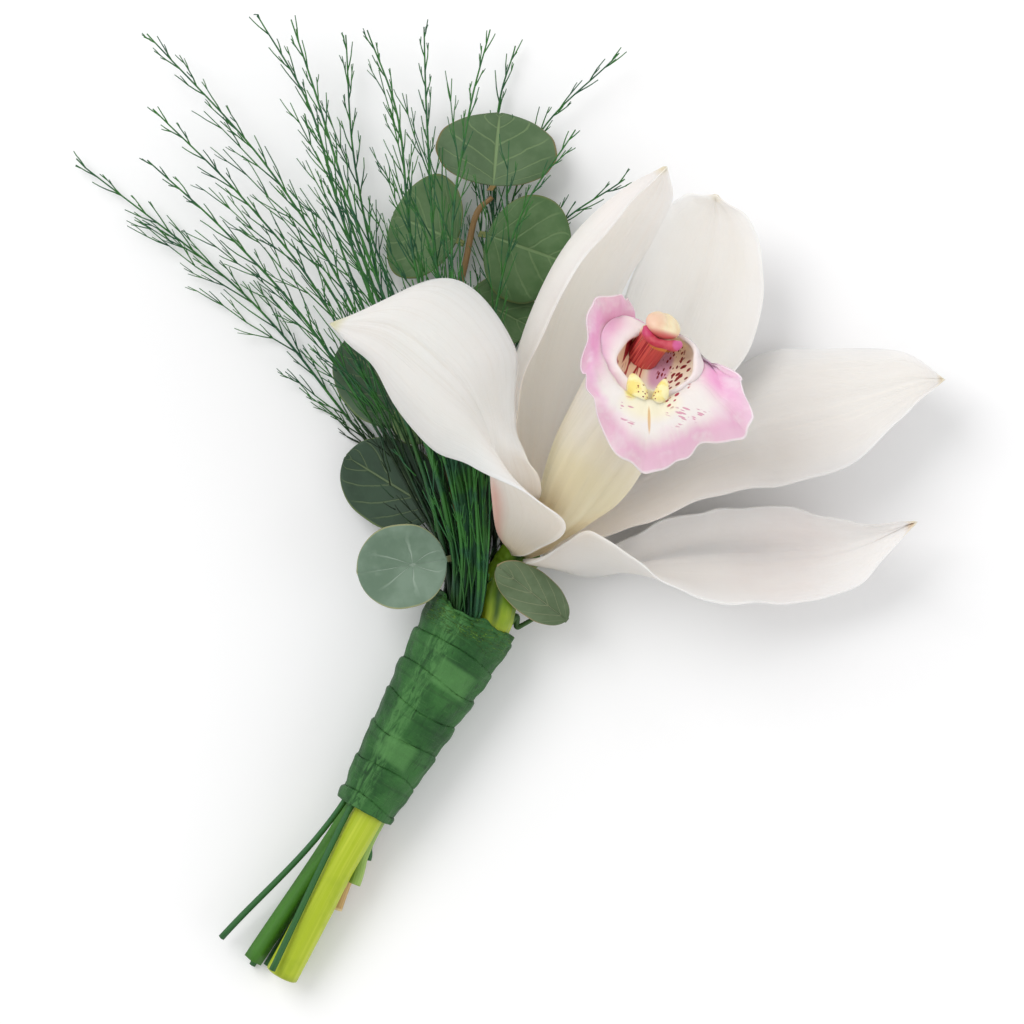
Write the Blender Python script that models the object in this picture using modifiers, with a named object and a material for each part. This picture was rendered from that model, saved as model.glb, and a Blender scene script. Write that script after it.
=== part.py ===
"""Boutonniere: a cymbidium flower, eucalyptus leaves and fine fern fronds bound with floral tape.

It lies on its back on a table. The stems point to -Y, the fronds to +Y and the flower opens upwards.
Lengths in the tables are millimetres; mm() turns them into scene units.
"""

import math
import random

import bmesh
import bpy
from mathutils import Vector
from mathutils.bvhtree import BVHTree

MM = 0.001
SEAM = 1e-6
SHEET_SEAM = 1e-5
FAR = 1e3
GAP = 0.3
UP = Vector((0.0, 0.0, 1.0))

# The tape sleeve: axis ends, outer radii across and up, and wall.
TAPE_TOP = Vector((-5.1, -18.4, 7.9))
TAPE_BOTTOM = Vector((-22.5, -49.2, 6.6))
TAPE_TOP_RADII = (7.6, 7.6)
TAPE_BOTTOM_RADII = (4.65, 6.3)
TAPE_WALL = 0.4
TAPE_SIDES = 24
TAPE_RINGS = 7
ACROSS = Vector((-0.871, 0.492, 0.0))

# The flower's receptacle: its middle, the way the flower faces, and the way to its dorsal side.
RECEPTACLE = Vector((3.0, -8.0, 10.5))
FACING = Vector((0.416, 0.577, 0.70)).normalized()
DORSAL = Vector((0.455, 0.536, -0.711)).normalized()
RIGHT = DORSAL.cross(FACING)
RING_RADIUS = 3.0
RING_HEIGHT = 0.85
TEPAL_BASE_HALF_WIDTH = 1.35
TEPAL_THICKNESS = 0.8
TEPAL_ROWS = 16
TEPAL_COLUMNS = 6

LIP_THICKNESS = 0.7
LEAF_THICKNESS = 0.5
LEAF_ROWS = 8
LEAF_COLUMNS = 4
PETIOLE_HALF_WIDTH = 0.5

# Points along each stem, and the bevel resolution of thick, slim and thread-like stems.
STALK_POINTS = 22
STALK_BEND_PLACE = 0.25
TWIG_POINTS = 26
SHOOT_POINTS = 14
COLUMN_POINTS = 9
THICK = 3
ROUND = 2
SLIM = 1
THREAD = 0

FROND_RADIUS = 0.5
FROND_TIP_RADIUS = 0.2
FROND_POINTS = 22
SIDE_TWIG_POINTS = 3
SIDE_TWIG_LENGTH = 9.0
SIDE_TWIG_SHORTENING = 0.5
SIDE_TWIG_SPREAD = math.radians(24.0)
SIDE_TWIGS = 7
SIDE_TWIG_TILT = (-0.08, 0.16)
SIDE_TWIG_LENGTH_CHANGE = (0.8, 1.2)
SIDE_TWIG_SPREAD_CHANGE = (0.8, 1.25)
SIDE_TWIG_END_SPREAD = 0.5
SIDE_TWIG_RADII = (0.24, 0.2, 0.16)
LOWEST_TWIG = 0.6
CLEARANCE_STEPS = 8
CLEARANCE_REACH = 0.4
SEED = 11


def mm(point):
    """A point given in millimetres, in metres."""
    return Vector(point) * MM


def clear_scene():
    for obj in list(bpy.data.objects):
        bpy.data.objects.remove(obj, do_unlink=True)


def new_collection(name, hidden=False):
    collection = bpy.data.collections.new(name)
    collection.hide_render = hidden
    bpy.context.scene.collection.children.link(collection)
    return collection


def new_material(name, colour, roughness):
    material = bpy.data.materials.new(name)
    material.use_nodes = True
    shader = material.node_tree.nodes["Principled BSDF"]
    shader.inputs["Base Color"].default_value = (*colour, 1.0)
    shader.inputs["Roughness"].default_value = roughness
    shader.inputs["Metallic"].default_value = 0.0
    material.diffuse_color = (*colour, 1.0)
    return material


def keep(obj, material, collection):
    """Gives the object its material and moves it to its collection."""
    obj.data.materials.clear()
    obj.data.materials.append(material)
    for other in list(obj.users_collection):
        other.objects.unlink(obj)
    collection.objects.link(obj)
    return obj


def at(points, place):
    """The point at place, 0 to 1, of a smooth curve through the points."""
    last = len(points) - 1
    index = min(int(place * last), last - 1)
    t = place * last - index
    b = points[index]
    c = points[index + 1]
    a = points[index - 1] if index > 0 else b * 2.0 - c
    d = points[index + 2] if index + 2 <= last else c * 2.0 - b
    slope = (c - a) * t
    bend = (a * 2.0 - b * 5.0 + c * 4.0 - d) * t**2
    turn = (b * 3.0 - a - c * 3.0 + d) * t**3
    return (b * 2.0 + slope + bend + turn) * 0.5


def smooth_path(points, count):
    """Evenly numbered points of the smooth curve through the given ones."""
    vectors = [Vector(point) for point in points]
    return [at(vectors, index / (count - 1)) for index in range(count)]


def ring_point(angle):
    """Where a tepal leaves the receptacle, with 0 at the dorsal side and 90 at the right."""
    turn = math.radians(angle)
    outward = DORSAL * math.cos(turn) + RIGHT * math.sin(turn)
    return RECEPTACLE + FACING * RING_HEIGHT + outward * RING_RADIUS


def ring_tangent(angle):
    turn = math.radians(angle)
    return RIGHT * math.cos(turn) - DORSAL * math.sin(turn)


def tube(name, points, radii, material, collection, count, resolution):
    """A round stem: a poly curve of count points through the given ones, with a radius that follows them."""
    path = smooth_path(points, count)
    widths = smooth_path([(radius, 0.0, 0.0) for radius in radii], count)
    curve = bpy.data.curves.new(name, "CURVE")
    curve.dimensions = "3D"
    curve.bevel_depth = MM
    curve.bevel_resolution = resolution
    curve.use_fill_caps = True
    spline = curve.splines.new("POLY")
    spline.points.add(count - 1)
    for point, place, width in zip(spline.points, path, widths):
        point.co = (*mm(place), 1.0)
        point.radius = width.x
    obj = bpy.data.objects.new(name, curve)
    bpy.context.scene.collection.objects.link(obj)
    return keep(obj, material, collection)


def mesh_copy(obj, name):
    """A plain mesh of the object as its modifiers leave it, with its seams welded."""
    graph = bpy.context.evaluated_depsgraph_get()
    mesh = bpy.data.meshes.new_from_object(obj.evaluated_get(graph))
    mesh.name = name
    shape = bmesh.new()
    shape.from_mesh(mesh)
    bmesh.ops.remove_doubles(shape, verts=shape.verts, dist=SEAM)
    bmesh.ops.recalc_face_normals(shape, faces=shape.faces)
    shape.to_mesh(mesh)
    shape.free()
    return mesh


def grid_sheet(name, columns, rows, place):
    """A grid primitive whose points are moved to place(across, along); across is -1 to 1, along 0 to 1."""
    bpy.ops.mesh.primitive_grid_add(x_subdivisions=columns, y_subdivisions=rows, size=2.0)
    obj = bpy.context.object
    obj.name = name
    obj.data.name = name
    shape = bmesh.new()
    shape.from_mesh(obj.data)
    for vertex in shape.verts:
        vertex.co = mm(place(vertex.co.x, (vertex.co.y + 1.0) / 2.0))
    bmesh.ops.remove_doubles(shape, verts=shape.verts, dist=SHEET_SEAM)
    shape.to_mesh(obj.data)
    shape.free()
    for face in obj.data.polygons:
        face.use_smooth = True
    return obj


def thicken(obj, thickness, offset=0.0):
    solid = obj.modifiers.new("thickness", "SOLIDIFY")
    solid.thickness = thickness * MM
    solid.offset = offset
    return obj


def tepal(name, angle, turn, first, middle, last, material, collection):
    """A sepal or petal lofted between its two edges over its midline.

    Each line starts on the receptacle at the given angle; turn is 1 where the last edge lies on the side of
    the growing angle, and -1 where the first does.
    """
    base = ring_point(angle)
    half = ring_tangent(angle) * TEPAL_BASE_HALF_WIDTH * turn
    edges = [
        [Vector(point) for point in [base - half, *first]],
        [Vector(point) for point in [base, *middle]],
        [Vector(point) for point in [base + half, *last]],
    ]

    def place(across, along):
        low, mid, high = (at(edge, along) for edge in edges)
        return (
            low * (across * (across - 1.0) / 2.0)
            + mid * (1.0 - across * across)
            + high * (across * (across + 1.0) / 2.0)
        )

    obj = grid_sheet(name, TEPAL_COLUMNS, TEPAL_ROWS, place)
    return keep(thicken(obj, TEPAL_THICKNESS), material, collection)


def make_tepals(material, collection):
    tepal(
        "lateral_sepal_left",
        220.0,
        1.0,
        [
            (4.4, -8.0, 20.5), (9.3, -4.2, 32), (3.5, 0.5, 41), (-5, 5, 45),
            (-12, 8.5, 44), (-20, 19.5, 40), (-27, 27, 32),
        ],
        [
            (-1, -5, 18), (-1.5, 0.5, 30), (-2, 7, 38), (-4, 13.5, 43),
            (-8.5, 20, 46), (-17, 26.5, 43), (-27, 27, 32),
        ],
        [
            (2, -3, 16), (5.5, 1.5, 29), (3.5, 6, 36), (1, 13, 38),
            (1.5, 23, 40), (-8, 33.5, 40), (-27, 27, 32),
        ],
        material,
        collection,
    )
    tepal(
        "lateral_sepal_right",
        140.0,
        -1.0,
        [
            (6, -9, 20), (13, -5, 28), (21, -10.5, 25), (31, -15.5, 20),
            (43, -16.5, 13), (55, -13.5, 11), (64.5, -3.5, 17),
        ],
        [
            (7.5, -10.6, 10), (14, -12, 4.5), (23, -10.5, 2), (33, -9.5, 1),
            (44, -9, 2), (55, -7.5, 7), (64.5, -3.5, 17),
        ],
        [
            (9.5, -10, 9), (16, -8, 9), (25.5, -3.5, 10), (34, -1.5, 10),
            (45, -1.5, 11), (56, -3.5, 12), (64.5, -3.5, 17),
        ],
        material,
        collection,
    )
    tepal(
        "petal_right",
        70.0,
        -1.0,
        [
            (15, -6, 12), (22.5, -3.5, 14), (32, 0.5, 16), (43, 2, 17),
            (54, 5.5, 16), (63, 13.5, 14), (69, 19, 15),
        ],
        [
            (13.5, -2.5, 8), (22, 3, 6), (33, 9.5, 5.5), (44, 13, 7.5),
            (54.5, 15.5, 10), (63.5, 18, 12), (69, 19, 15),
        ],
        [
            (12.5, 0.5, 6.5), (21.5, 8, 3.5), (32, 17.5, 1.2), (41, 23.5, 3),
            (51, 24, 6), (62.5, 23.5, 10), (69, 19, 15),
        ],
        material,
        collection,
    )
    tepal(
        "dorsal_sepal",
        0.0,
        1.0,
        [
            (8.5, 4, 5), (13.5, 14, 5.5), (17.5, 26, 7.5), (20.5, 37, 11),
            (24.6, 44.5, 15), (28, 47.8, 17), (33, 47.8, 17),
        ],
        [
            (10, 1.5, 5), (17, 9.5, 5), (23, 18, 5), (28, 28, 5.5),
            (31.5, 38, 8.5), (33, 44.5, 13), (33, 47.8, 17),
        ],
        [
            (10.5, 0.5, 8), (19.5, 5.5, 8.5), (30, 13, 9.5), (37.5, 22.5, 10),
            (40.8, 35, 12.5), (38.4, 43.2, 16), (33, 47.8, 17),
        ],
        material,
        collection,
    )
    tepal(
        "petal_left",
        285.0,
        1.0,
        [
            (0.5, -0.5, 14), (0.5, 8, 21), (2.5, 17.5, 28), (6.5, 27.5, 32),
            (12, 37.5, 32), (19, 45, 32), (25, 51.5, 29),
        ],
        [
            (2, 0, 10), (2, 8.5, 11), (2.5, 18.5, 13), (5.5, 30, 17),
            (11, 40.5, 21), (18, 47.5, 25.5), (25, 51.5, 29),
        ],
        [
            (5.5, 0.5, 8), (9, 9.5, 8), (13.5, 20.5, 9.5), (18.5, 33, 12.5),
            (23, 40.5, 17), (26, 47, 22.5), (25, 51.5, 29),
        ],
        material,
        collection,
    )


# The lip's long lines, from the edge of one side lobe round under the middle lobe to the other edge.
LIP_LINES = [
    [(6.5, 0.5, 15), (10.5, 12, 18), (18.5, 24, 25), (20, 28.5, 29), (19, 32, 30)],
    [(5, 0, 19), (8.5, 10.5, 24), (15, 24, 31), (14.5, 28, 34), (13.5, 30, 36)],
    [(5, -0.5, 24), (8, 9, 29), (14.5, 20.5, 37), (13.5, 21.5, 42), (12, 20.5, 44)],
    [(6, -1, 27), (10, 7.5, 34), (17, 17, 42), (15, 16, 48), (13, 14.5, 49)],
    [(8.5, -2.5, 28), (13.5, 5.5, 36.5), (20.5, 15, 44), (20.5, 10.5, 50), (20, 4, 49)],
    [(11, -3.5, 26), (16.5, 3, 33.5), (24, 15, 42), (26, 11.5, 48), (27.5, 7, 47)],
    [(13, -3.5, 22), (19, 2, 29), (27.5, 17, 37), (32.5, 14.5, 43), (36.5, 10, 43)],
    [(13, -2.5, 18), (19.5, 3.5, 23), (29, 20, 31), (33, 18.5, 38), (36.5, 17.5, 41)],
    [(12, -1.5, 15), (18, 6, 18), (27.5, 22.5, 26), (29, 23, 30), (29.5, 22, 32)],
]
LIP_CLAW_HALF_WIDTH = 1.1
LIP_CLAW_OFFSET = 1.9
LIP_NECK_HEIGHT = 5.2
LIP_NECK_RADIUS = 3.2
LIP_NECK_SWEEP = math.radians(85.0)
LIP_COLUMNS = 14
LIP_ROWS = 12


def make_lip(material, collection):
    """The lip: a claw on the receptacle that opens into a trough with two side lobes and a middle lobe."""
    claw = RECEPTACLE + FACING * RING_HEIGHT - DORSAL * LIP_CLAW_OFFSET
    lines = []
    for index, line in enumerate(LIP_LINES):
        side = index / (len(LIP_LINES) - 1) * 2.0 - 1.0
        start = claw + RIGHT * (side * LIP_CLAW_HALF_WIDTH)
        round_neck = RIGHT * math.sin(side * LIP_NECK_SWEEP) - DORSAL * math.cos(side * LIP_NECK_SWEEP)
        neck = RECEPTACLE + FACING * LIP_NECK_HEIGHT + round_neck * LIP_NECK_RADIUS
        lines.append([start, neck] + [Vector(point) for point in line])

    def place(across, along):
        return at([at(line, along) for line in lines], (across + 1.0) / 2.0)

    obj = grid_sheet("lip", LIP_COLUMNS, LIP_ROWS, place)
    return keep(thicken(obj, LIP_THICKNESS), material, collection)


COLUMN_LINE = [(8, -1, 17.5), (14, 9, 23.5), (19.5, 19.5, 30), (23.2, 25.2, 34.2)]
COLUMN_LIFT = 0.6
COLUMN_OFFSET = 0.5
COLUMN_RADII = [1.1, 1.6, 2.2, 2.5, 2.6]
ANTHER_CENTRE = (24.2, 26.75, 35.35)
ANTHER_RADII = (2.9, 2.6, 1.7)
ANTHER_SEGMENTS = 14
ANTHER_RINGS = 8


def make_column(material, cap_material, collection):
    """The column inside the lip, and the anther cap on its end."""
    start = RECEPTACLE + FACING * COLUMN_LIFT + DORSAL * COLUMN_OFFSET
    tube("column", [start, *COLUMN_LINE], COLUMN_RADII, material, collection, COLUMN_POINTS, ROUND)
    bpy.ops.mesh.primitive_uv_sphere_add(segments=ANTHER_SEGMENTS, ring_count=ANTHER_RINGS, radius=MM)
    cap = bpy.context.object
    cap.name = "anther_cap"
    cap.data.name = "anther_cap"
    axis = (Vector(COLUMN_LINE[-1]) - Vector(COLUMN_LINE[-2])).normalized()
    turn = UP.rotation_difference(axis).to_matrix().to_4x4()
    for vertex in cap.data.vertices:
        local = Vector([part * radius for part, radius in zip(vertex.co, ANTHER_RADII)])
        vertex.co = turn @ local + mm(ANTHER_CENTRE)
    for face in cap.data.polygons:
        face.use_smooth = True
    return keep(cap, cap_material, collection)


def tape_point(across, height, along):
    """A place inside the sleeve: offsets from its axis, at 0 for its top and 1 for its bottom."""
    return TAPE_TOP.lerp(TAPE_BOTTOM, along) + ACROSS * across + UP * height


# Each stem in the sleeve: offsets at its top, offsets at its bottom, and the stem's cut end.
BUNDLE = {
    "flower_stalk": ((-3.3, 2.0), (-0.9, 2.4), (-35.7, -75.5, 4.3)),
    "fern_main_stem": ((2.6, -1.4), (1.7, -1.4), (-40.4, -73.4, 3.0)),
    "eucalyptus_twig": ((-0.5, -2.6), (-1.2, -3.0), (-27.3, -65.2, 3.0)),
    "eucalyptus_side_shoot": ((-5.2, -2.0), (-3.0, -0.9), (-24.1, -61.1, 6.0)),
    "splayed": ((5.4, 1.2), (3.4, 1.6), (-45.4, -69.8, 3.5)),
    "upper": ((2.9, 1.4), (2.15, 3.9), (-37.1, -74.6, 8.2)),
    "low_middle": ((0.6, -5.3), (0.6, -4.4), (-38.3, -74.4, 0.75)),
    "low_left": ((3.0, -5.0), (2.3, -3.7), (-40.6, -74.4, 0.75)),
    "short_right": ((-3.6, -4.4), (-3.25, -2.75), (-22.0, -57.4, 3.6)),
    "inner": ((0.5, -0.8), (-0.7, -1.0), (-36.6, -75.0, 0.8)),
}


def bundle_line(name):
    """The three points that a stem has from its cut end to the sleeve's top."""
    top, bottom, end = BUNDLE[name]
    return [Vector(end), tape_point(*bottom, 1.0), tape_point(*top, 0.0)]


def make_stems(materials, collection):
    cut_end, sleeve_bottom, sleeve_top = bundle_line("flower_stalk")
    in_sleeve = sleeve_top.lerp(sleeve_bottom, STALK_BEND_PLACE)
    tube(
        "flower_stalk",
        [cut_end, sleeve_bottom, in_sleeve, sleeve_top, (-1.0, -14.2, 9.6), (0.9, -10.4, 9.1), RECEPTACLE],
        [2.6, 2.5, 2.6, 2.9, 3.1, 3.2, 3.2],
        materials["orchid_stem"],
        collection,
        STALK_POINTS,
        THICK,
    )
    tube(
        "eucalyptus_twig",
        [
            *bundle_line("eucalyptus_twig"),
            (-7, -7, 7.5),
            (-9.5, 3, 8),
            (-11.5, 9, 8),
            (-10, 25, 7.5),
            (-6.8, 36, 7.5),
            (-4.8, 45, 8),
            (-2.2, 48, 8.5),
        ],
        [1.3, 1.2, 1.1, 0.9, 0.8, 0.7, 0.6, 0.5, 0.5, 0.4],
        materials["twig"],
        collection,
        TWIG_POINTS,
        SLIM,
    )
    tube(
        "eucalyptus_side_shoot",
        [*bundle_line("eucalyptus_side_shoot"), (2.0, -20.2, 5.5), (5.5, -18.2, 6.8)],
        [0.95, 0.9, 0.8, 0.6, 0.45],
        materials["light_stem"],
        collection,
        SHOOT_POINTS,
        SLIM,
    )


def make_tape(material, collection):
    """The sleeve of wound tape, open at both ends."""

    def place(across, along):
        turn = across * math.pi
        wide = TAPE_TOP_RADII[0] + (TAPE_BOTTOM_RADII[0] - TAPE_TOP_RADII[0]) * along
        tall = TAPE_TOP_RADII[1] + (TAPE_BOTTOM_RADII[1] - TAPE_TOP_RADII[1]) * along
        return tape_point(wide * math.sin(turn), -tall * math.cos(turn), along)

    obj = grid_sheet("floral_tape", TAPE_SIDES, TAPE_RINGS, place)
    return keep(thicken(obj, TAPE_WALL, -1.0), material, collection)


# Each leaf: where its stalk starts, the blade's near end, its tip, the blade's width, and how far
# the sides rise.
LEAVES = {
    "eucalyptus_leaf_top": ((-2.6, 49.0, 8.8), (-2.0, 49.8, 8.8), (-1.0, 61.5, 4.5), 19.4, -1.5),
    "eucalyptus_leaf_upper_left": ((-6.7, 40.6, 7.7), (-7.8, 41.2, 7.2), (-18.0, 45.5, 2.5), 17.5, 1.5),
    "eucalyptus_leaf_upper_right": ((-4.3, 42.2, 8.0), (-3.0, 42.0, 8.2), (9.8, 37.6, 6.5), 17.5, -1.5),
    "eucalyptus_leaf_hidden": ((-7.0, 33.2, 7.0), (-5.8, 32.6, 6.0), (4.0, 27.5, 4.2), 11.5, 0.6),
    "eucalyptus_leaf_middle_left": ((-12.2, 12.6, 7.6), (-13.4, 13.4, 7.0), (-26.0, 25.0, 4.0), 14.0, 1.0),
    "eucalyptus_leaf_small": ((-12.4, 8.4, 8.2), (-13.0, 9.2, 8.8), (-17.0, 14.6, 8.9), 5.5, 0.2),
    "eucalyptus_leaf_lower_left": ((-9.4, -2.6, 7.2), (-11.2, -1.8, 6.4), (-25.5, 7.0, 4.0), 14.0, 1.0),
    "eucalyptus_leaf_front": ((-7.6, -9.0, 9.0), (-9.4, -9.4, 12.6), (-23.4, -11.6, 13.6), 13.5, 1.0),
    "eucalyptus_leaf_collar": ((6.3, -18.6, 7.6), (9.6, -19.0, 9.4), (-1.3, -10.4, 16.6), 7.2, -0.3),
}


def make_leaves(material, collection):
    for name, (seat, near, tip, width, rise) in LEAVES.items():
        make_leaf(name, Vector(seat), Vector(near), Vector(tip), width, rise, material, collection)


def make_leaf(name, seat, near, tip, width, rise, material, collection):
    """A round blade on a short flat stalk."""
    along_axis = (tip - near).normalized()
    sideways = along_axis.cross(UP).normalized()
    normal = sideways.cross(along_axis)
    stalk_part = 1.0 / LEAF_ROWS

    def place(across, along):
        if along < stalk_part * 0.5:
            return seat + sideways * (across * PETIOLE_HALF_WIDTH)
        blade = max((along - stalk_part) / (1.0 - stalk_part), 0.0)
        t = (1.0 - math.cos(math.pi * blade)) / 2.0
        least = 0.0 if blade > 0.5 else PETIOLE_HALF_WIDTH
        half = max(width / 2.0 * math.sin(math.pi * blade), least)
        cup = rise * (across * half / (width / 2.0)) ** 2 - rise * 0.5 * math.sin(math.pi * t)
        return near.lerp(tip, t) + sideways * (across * half) + normal * cup

    obj = grid_sheet(name, LEAF_COLUMNS, LEAF_ROWS, place)
    return keep(thicken(obj, LEAF_THICKNESS), material, collection)


# Each frond: the stem that it belongs to, or its place in the sleeve, then its line to the tip.
FRONDS = {
    "fern_frond_01": ("low_left", [(-13, -3, 1.8), (-26, 14, 1.2), (-42, 33, 1.4), (-69, 54.5, 2.0)]),
    "fern_frond_02": ("splayed", [(-15, 1, 8.8), (-30, 26, 8.5), (-44, 42, 7.0), (-57, 54, 6.0)]),
    "fern_frond_03": (
        "upper",
        [(-9.6, -11, 10.2), (-13.0, -1, 11.0), (-28, 30, 11.0), (-41, 47, 9.0), (-56, 62, 8.0)],
    ),
    "fern_frond_04": (
        "fern_main_stem",
        [(-11.5, -2, 9.6), (-24, 30, 12.0), (-38, 53, 9.0), (-57, 74, 7.0)],
    ),
    "fern_frond_05": ((4.0, 3.6), [(-10.5, 2, 15.5), (-25, 42, 13.0), (-31, 62, 10.5), (-39.5, 77, 8.0)]),
    "fern_frond_06": ((2.6, 4.6), [(-9, 4, 18.0), (-23, 42, 15.5), (-30, 64, 12.5), (-34, 76, 10.0)]),
    "fern_frond_07": ((4.4, -3.0), [(-9, 2, 3.2), (-18, 26, 1.6), (-24, 53, 3.5), (-25.5, 74, 5.0)]),
    "fern_frond_08": ((0.6, 4.4), [(-7, 5, 15.0), (-14.5, 38, 14.0), (-17, 60, 11.0), (-22, 74.5, 8.0)]),
    "fern_frond_09": ((1.2, 3.1), [(-6, 3, 12.5), (-11, 38, 12.5), (-12.5, 60, 10.0), (-13, 75, 8.0)]),
    "fern_frond_10": ((-0.4, 6.0), [(-5, 5, 19.0), (-8.5, 38, 17.0), (-6, 60, 12.0), (-2.5, 74.5, 9.0)]),
    "fern_frond_11": ("low_middle", [(-5, 0, 3.2), (-2.5, 30, 3.0), (-1.5, 60, 2.0), (1.5, 72.5, 2.2)]),
    "fern_frond_12": (
        "inner",
        [(-4.4, -14, 8.2), (-3, -3, 5.5), (-2, 30, 2.0), (4, 56, 3.0), (18, 71, 6.0)],
    ),
    "fern_frond_13": ((1.5, 0.55), [(-3.5, 2, 8.0), (-2.5, 24, 11.0), (2.0, 44, 12.5), (11, 58.5, 11.0)]),
    "fern_frond_14": (
        "short_right",
        [(-0.5, -12, 4.0), (-1.5, 8, 2.0), (0, 25, 1.6), (7, 42, 4.0), (18.8, 50.8, 9.0)],
    ),
}
FROND_STEM_RADII = {"fern_main_stem": (1.55, 1.5, 1.3)}
FROND_THIN_RADII = (0.52, 0.48, 0.5)
SHORT_FROND_END = 0.35


def frond_line(place, tip_line):
    """The frond's whole line from its cut end to its tip, and its radii."""
    if isinstance(place, str):
        start = bundle_line(place)
        radii = list(FROND_STEM_RADII.get(place, FROND_THIN_RADII))
    else:
        start = [tape_point(*place, SHORT_FROND_END), tape_point(*place, 0.0)]
        radii = [FROND_RADIUS, FROND_RADIUS]
    count = len(tip_line)
    for index in range(count):
        share = (index + 1) / count
        radii.append(FROND_RADIUS + (FROND_TIP_RADIUS - FROND_RADIUS) * share)
    return start + [Vector(point) for point in tip_line], radii


def is_clear(line, radius, trees):
    """True where the line keeps its gap from every shape already placed."""
    for start, end in zip(line, line[1:]):
        for index in range(CLEARANCE_STEPS + 1):
            point = mm(start.lerp(end, index / CLEARANCE_STEPS))
            for tree in trees:
                distance = tree.find_nearest(point, (radius + GAP + CLEARANCE_REACH) * MM)[3]
                if distance is not None and distance < (radius + GAP) * MM:
                    return False
    return True


def frond_twigs(line, trees, chance):
    """Short side twigs, left and right in turn, each kept only where it touches nothing else."""
    twigs = []
    path = smooth_path(line, FROND_POINTS)
    for index in range(SIDE_TWIGS):
        joint = FROND_POINTS - 2 - SIDE_TWIGS + index
        start = path[joint]
        ahead = (path[joint + 1] - start).normalized()
        side = UP.cross(ahead).normalized() * (1.0 if index % 2 else -1.0)
        shortened = 1.0 - SIDE_TWIG_SHORTENING * index / SIDE_TWIGS
        half = SIDE_TWIG_LENGTH * chance.uniform(*SIDE_TWIG_LENGTH_CHANGE) * shortened * 0.5
        spread = SIDE_TWIG_SPREAD * chance.uniform(*SIDE_TWIG_SPREAD_CHANGE)
        tilt = UP * chance.uniform(*SIDE_TWIG_TILT)
        middle = start + (ahead * math.cos(spread) + side * math.sin(spread) + tilt) * half
        end = middle + (ahead + side * math.sin(spread) * SIDE_TWIG_END_SPREAD + tilt) * half
        if end.z > LOWEST_TWIG and is_clear([start, middle, end], FROND_TIP_RADIUS, trees):
            twigs.append([start, middle, end])
    return twigs


def make_frond(name, place, tip_line, material, collection, helpers, trees, chance):
    """One frond: its stem and axis as a tube, joined with its side twigs into one body."""
    points, radii = frond_line(place, tip_line)
    line = [Vector(point) for point in points]
    stem = tube(name + "_stem", points, radii, material, helpers, FROND_POINTS, THREAD)
    body = bpy.data.objects.new(name, mesh_copy(stem, name))
    bpy.context.scene.collection.objects.link(body)
    keep(body, material, collection)
    bpy.data.objects.remove(stem, do_unlink=True)
    twigs = []
    for index, twig in enumerate(frond_twigs(line, trees, chance)):
        twig_name = f"{name}_twig_{index}"
        thread = tube(twig_name, twig, SIDE_TWIG_RADII, material, helpers, SIDE_TWIG_POINTS, THREAD)
        twigs.append(thread)
    if twigs:
        join_twigs(name, body, twigs, helpers)
    return body


def join_twigs(name, body, twigs, helpers):
    """Unites the twigs with the frond's body."""
    shape = bmesh.new()
    for twig in twigs:
        shape.from_mesh(mesh_copy(twig, twig.name))
        bpy.data.objects.remove(twig, do_unlink=True)
    mesh = bpy.data.meshes.new(name + "_twigs")
    shape.to_mesh(mesh)
    shape.free()
    cutter = bpy.data.objects.new(name + "_twigs", mesh)
    cutter.hide_render = True
    cutter.display_type = "WIRE"
    helpers.objects.link(cutter)
    union = body.modifiers.new("twigs", "BOOLEAN")
    union.operation = "UNION"
    union.solver = "EXACT"
    union.use_self = True
    union.object = cutter


def tree_of(obj):
    graph = bpy.context.evaluated_depsgraph_get()
    evaluated = obj.evaluated_get(graph)
    mesh = evaluated.to_mesh()
    points = [vertex.co.copy() for vertex in mesh.vertices]
    tree = BVHTree.FromPolygons(points, [tuple(face.vertices) for face in mesh.polygons])
    evaluated.to_mesh_clear()
    return tree


def make_fronds(material, collection, helpers):
    chance = random.Random(SEED)
    bpy.context.view_layer.update()
    trees = {obj.name: tree_of(obj) for obj in collection.objects if obj.name != "floral_tape"}
    for name, (place, tip_line) in FRONDS.items():
        plain = tube(name + "_plain", *frond_line(place, tip_line), material, helpers, FROND_POINTS, THREAD)
        bpy.context.view_layer.update()
        trees[name] = tree_of(plain)
        bpy.data.objects.remove(plain, do_unlink=True)
    for name, (place, tip_line) in FRONDS.items():
        others = [tree for other, tree in trees.items() if other != name]
        body = make_frond(name, place, tip_line, material, collection, helpers, others, chance)
        bpy.context.view_layer.update()
        trees[name] = tree_of(body)


def seat_on_origin(collection, helpers):
    """Moves everything so that the lowest point is at height zero and the box is centred on the origin."""
    bpy.context.view_layer.update()
    graph = bpy.context.evaluated_depsgraph_get()
    low = Vector((1.0, 1.0, 1.0)) * FAR
    high = -low
    for obj in collection.objects:
        evaluated = obj.evaluated_get(graph)
        mesh = evaluated.to_mesh()
        for vertex in mesh.vertices:
            place = evaluated.matrix_world @ vertex.co
            low = Vector(map(min, low, place))
            high = Vector(map(max, high, place))
        evaluated.to_mesh_clear()
    shift = Vector((-(low.x + high.x) / 2.0, -(low.y + high.y) / 2.0, -low.z))
    for obj in [*collection.objects, *helpers.objects]:
        obj.location += shift
    print("seat shift, mm:", [round(part / MM, 3) for part in shift])


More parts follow.
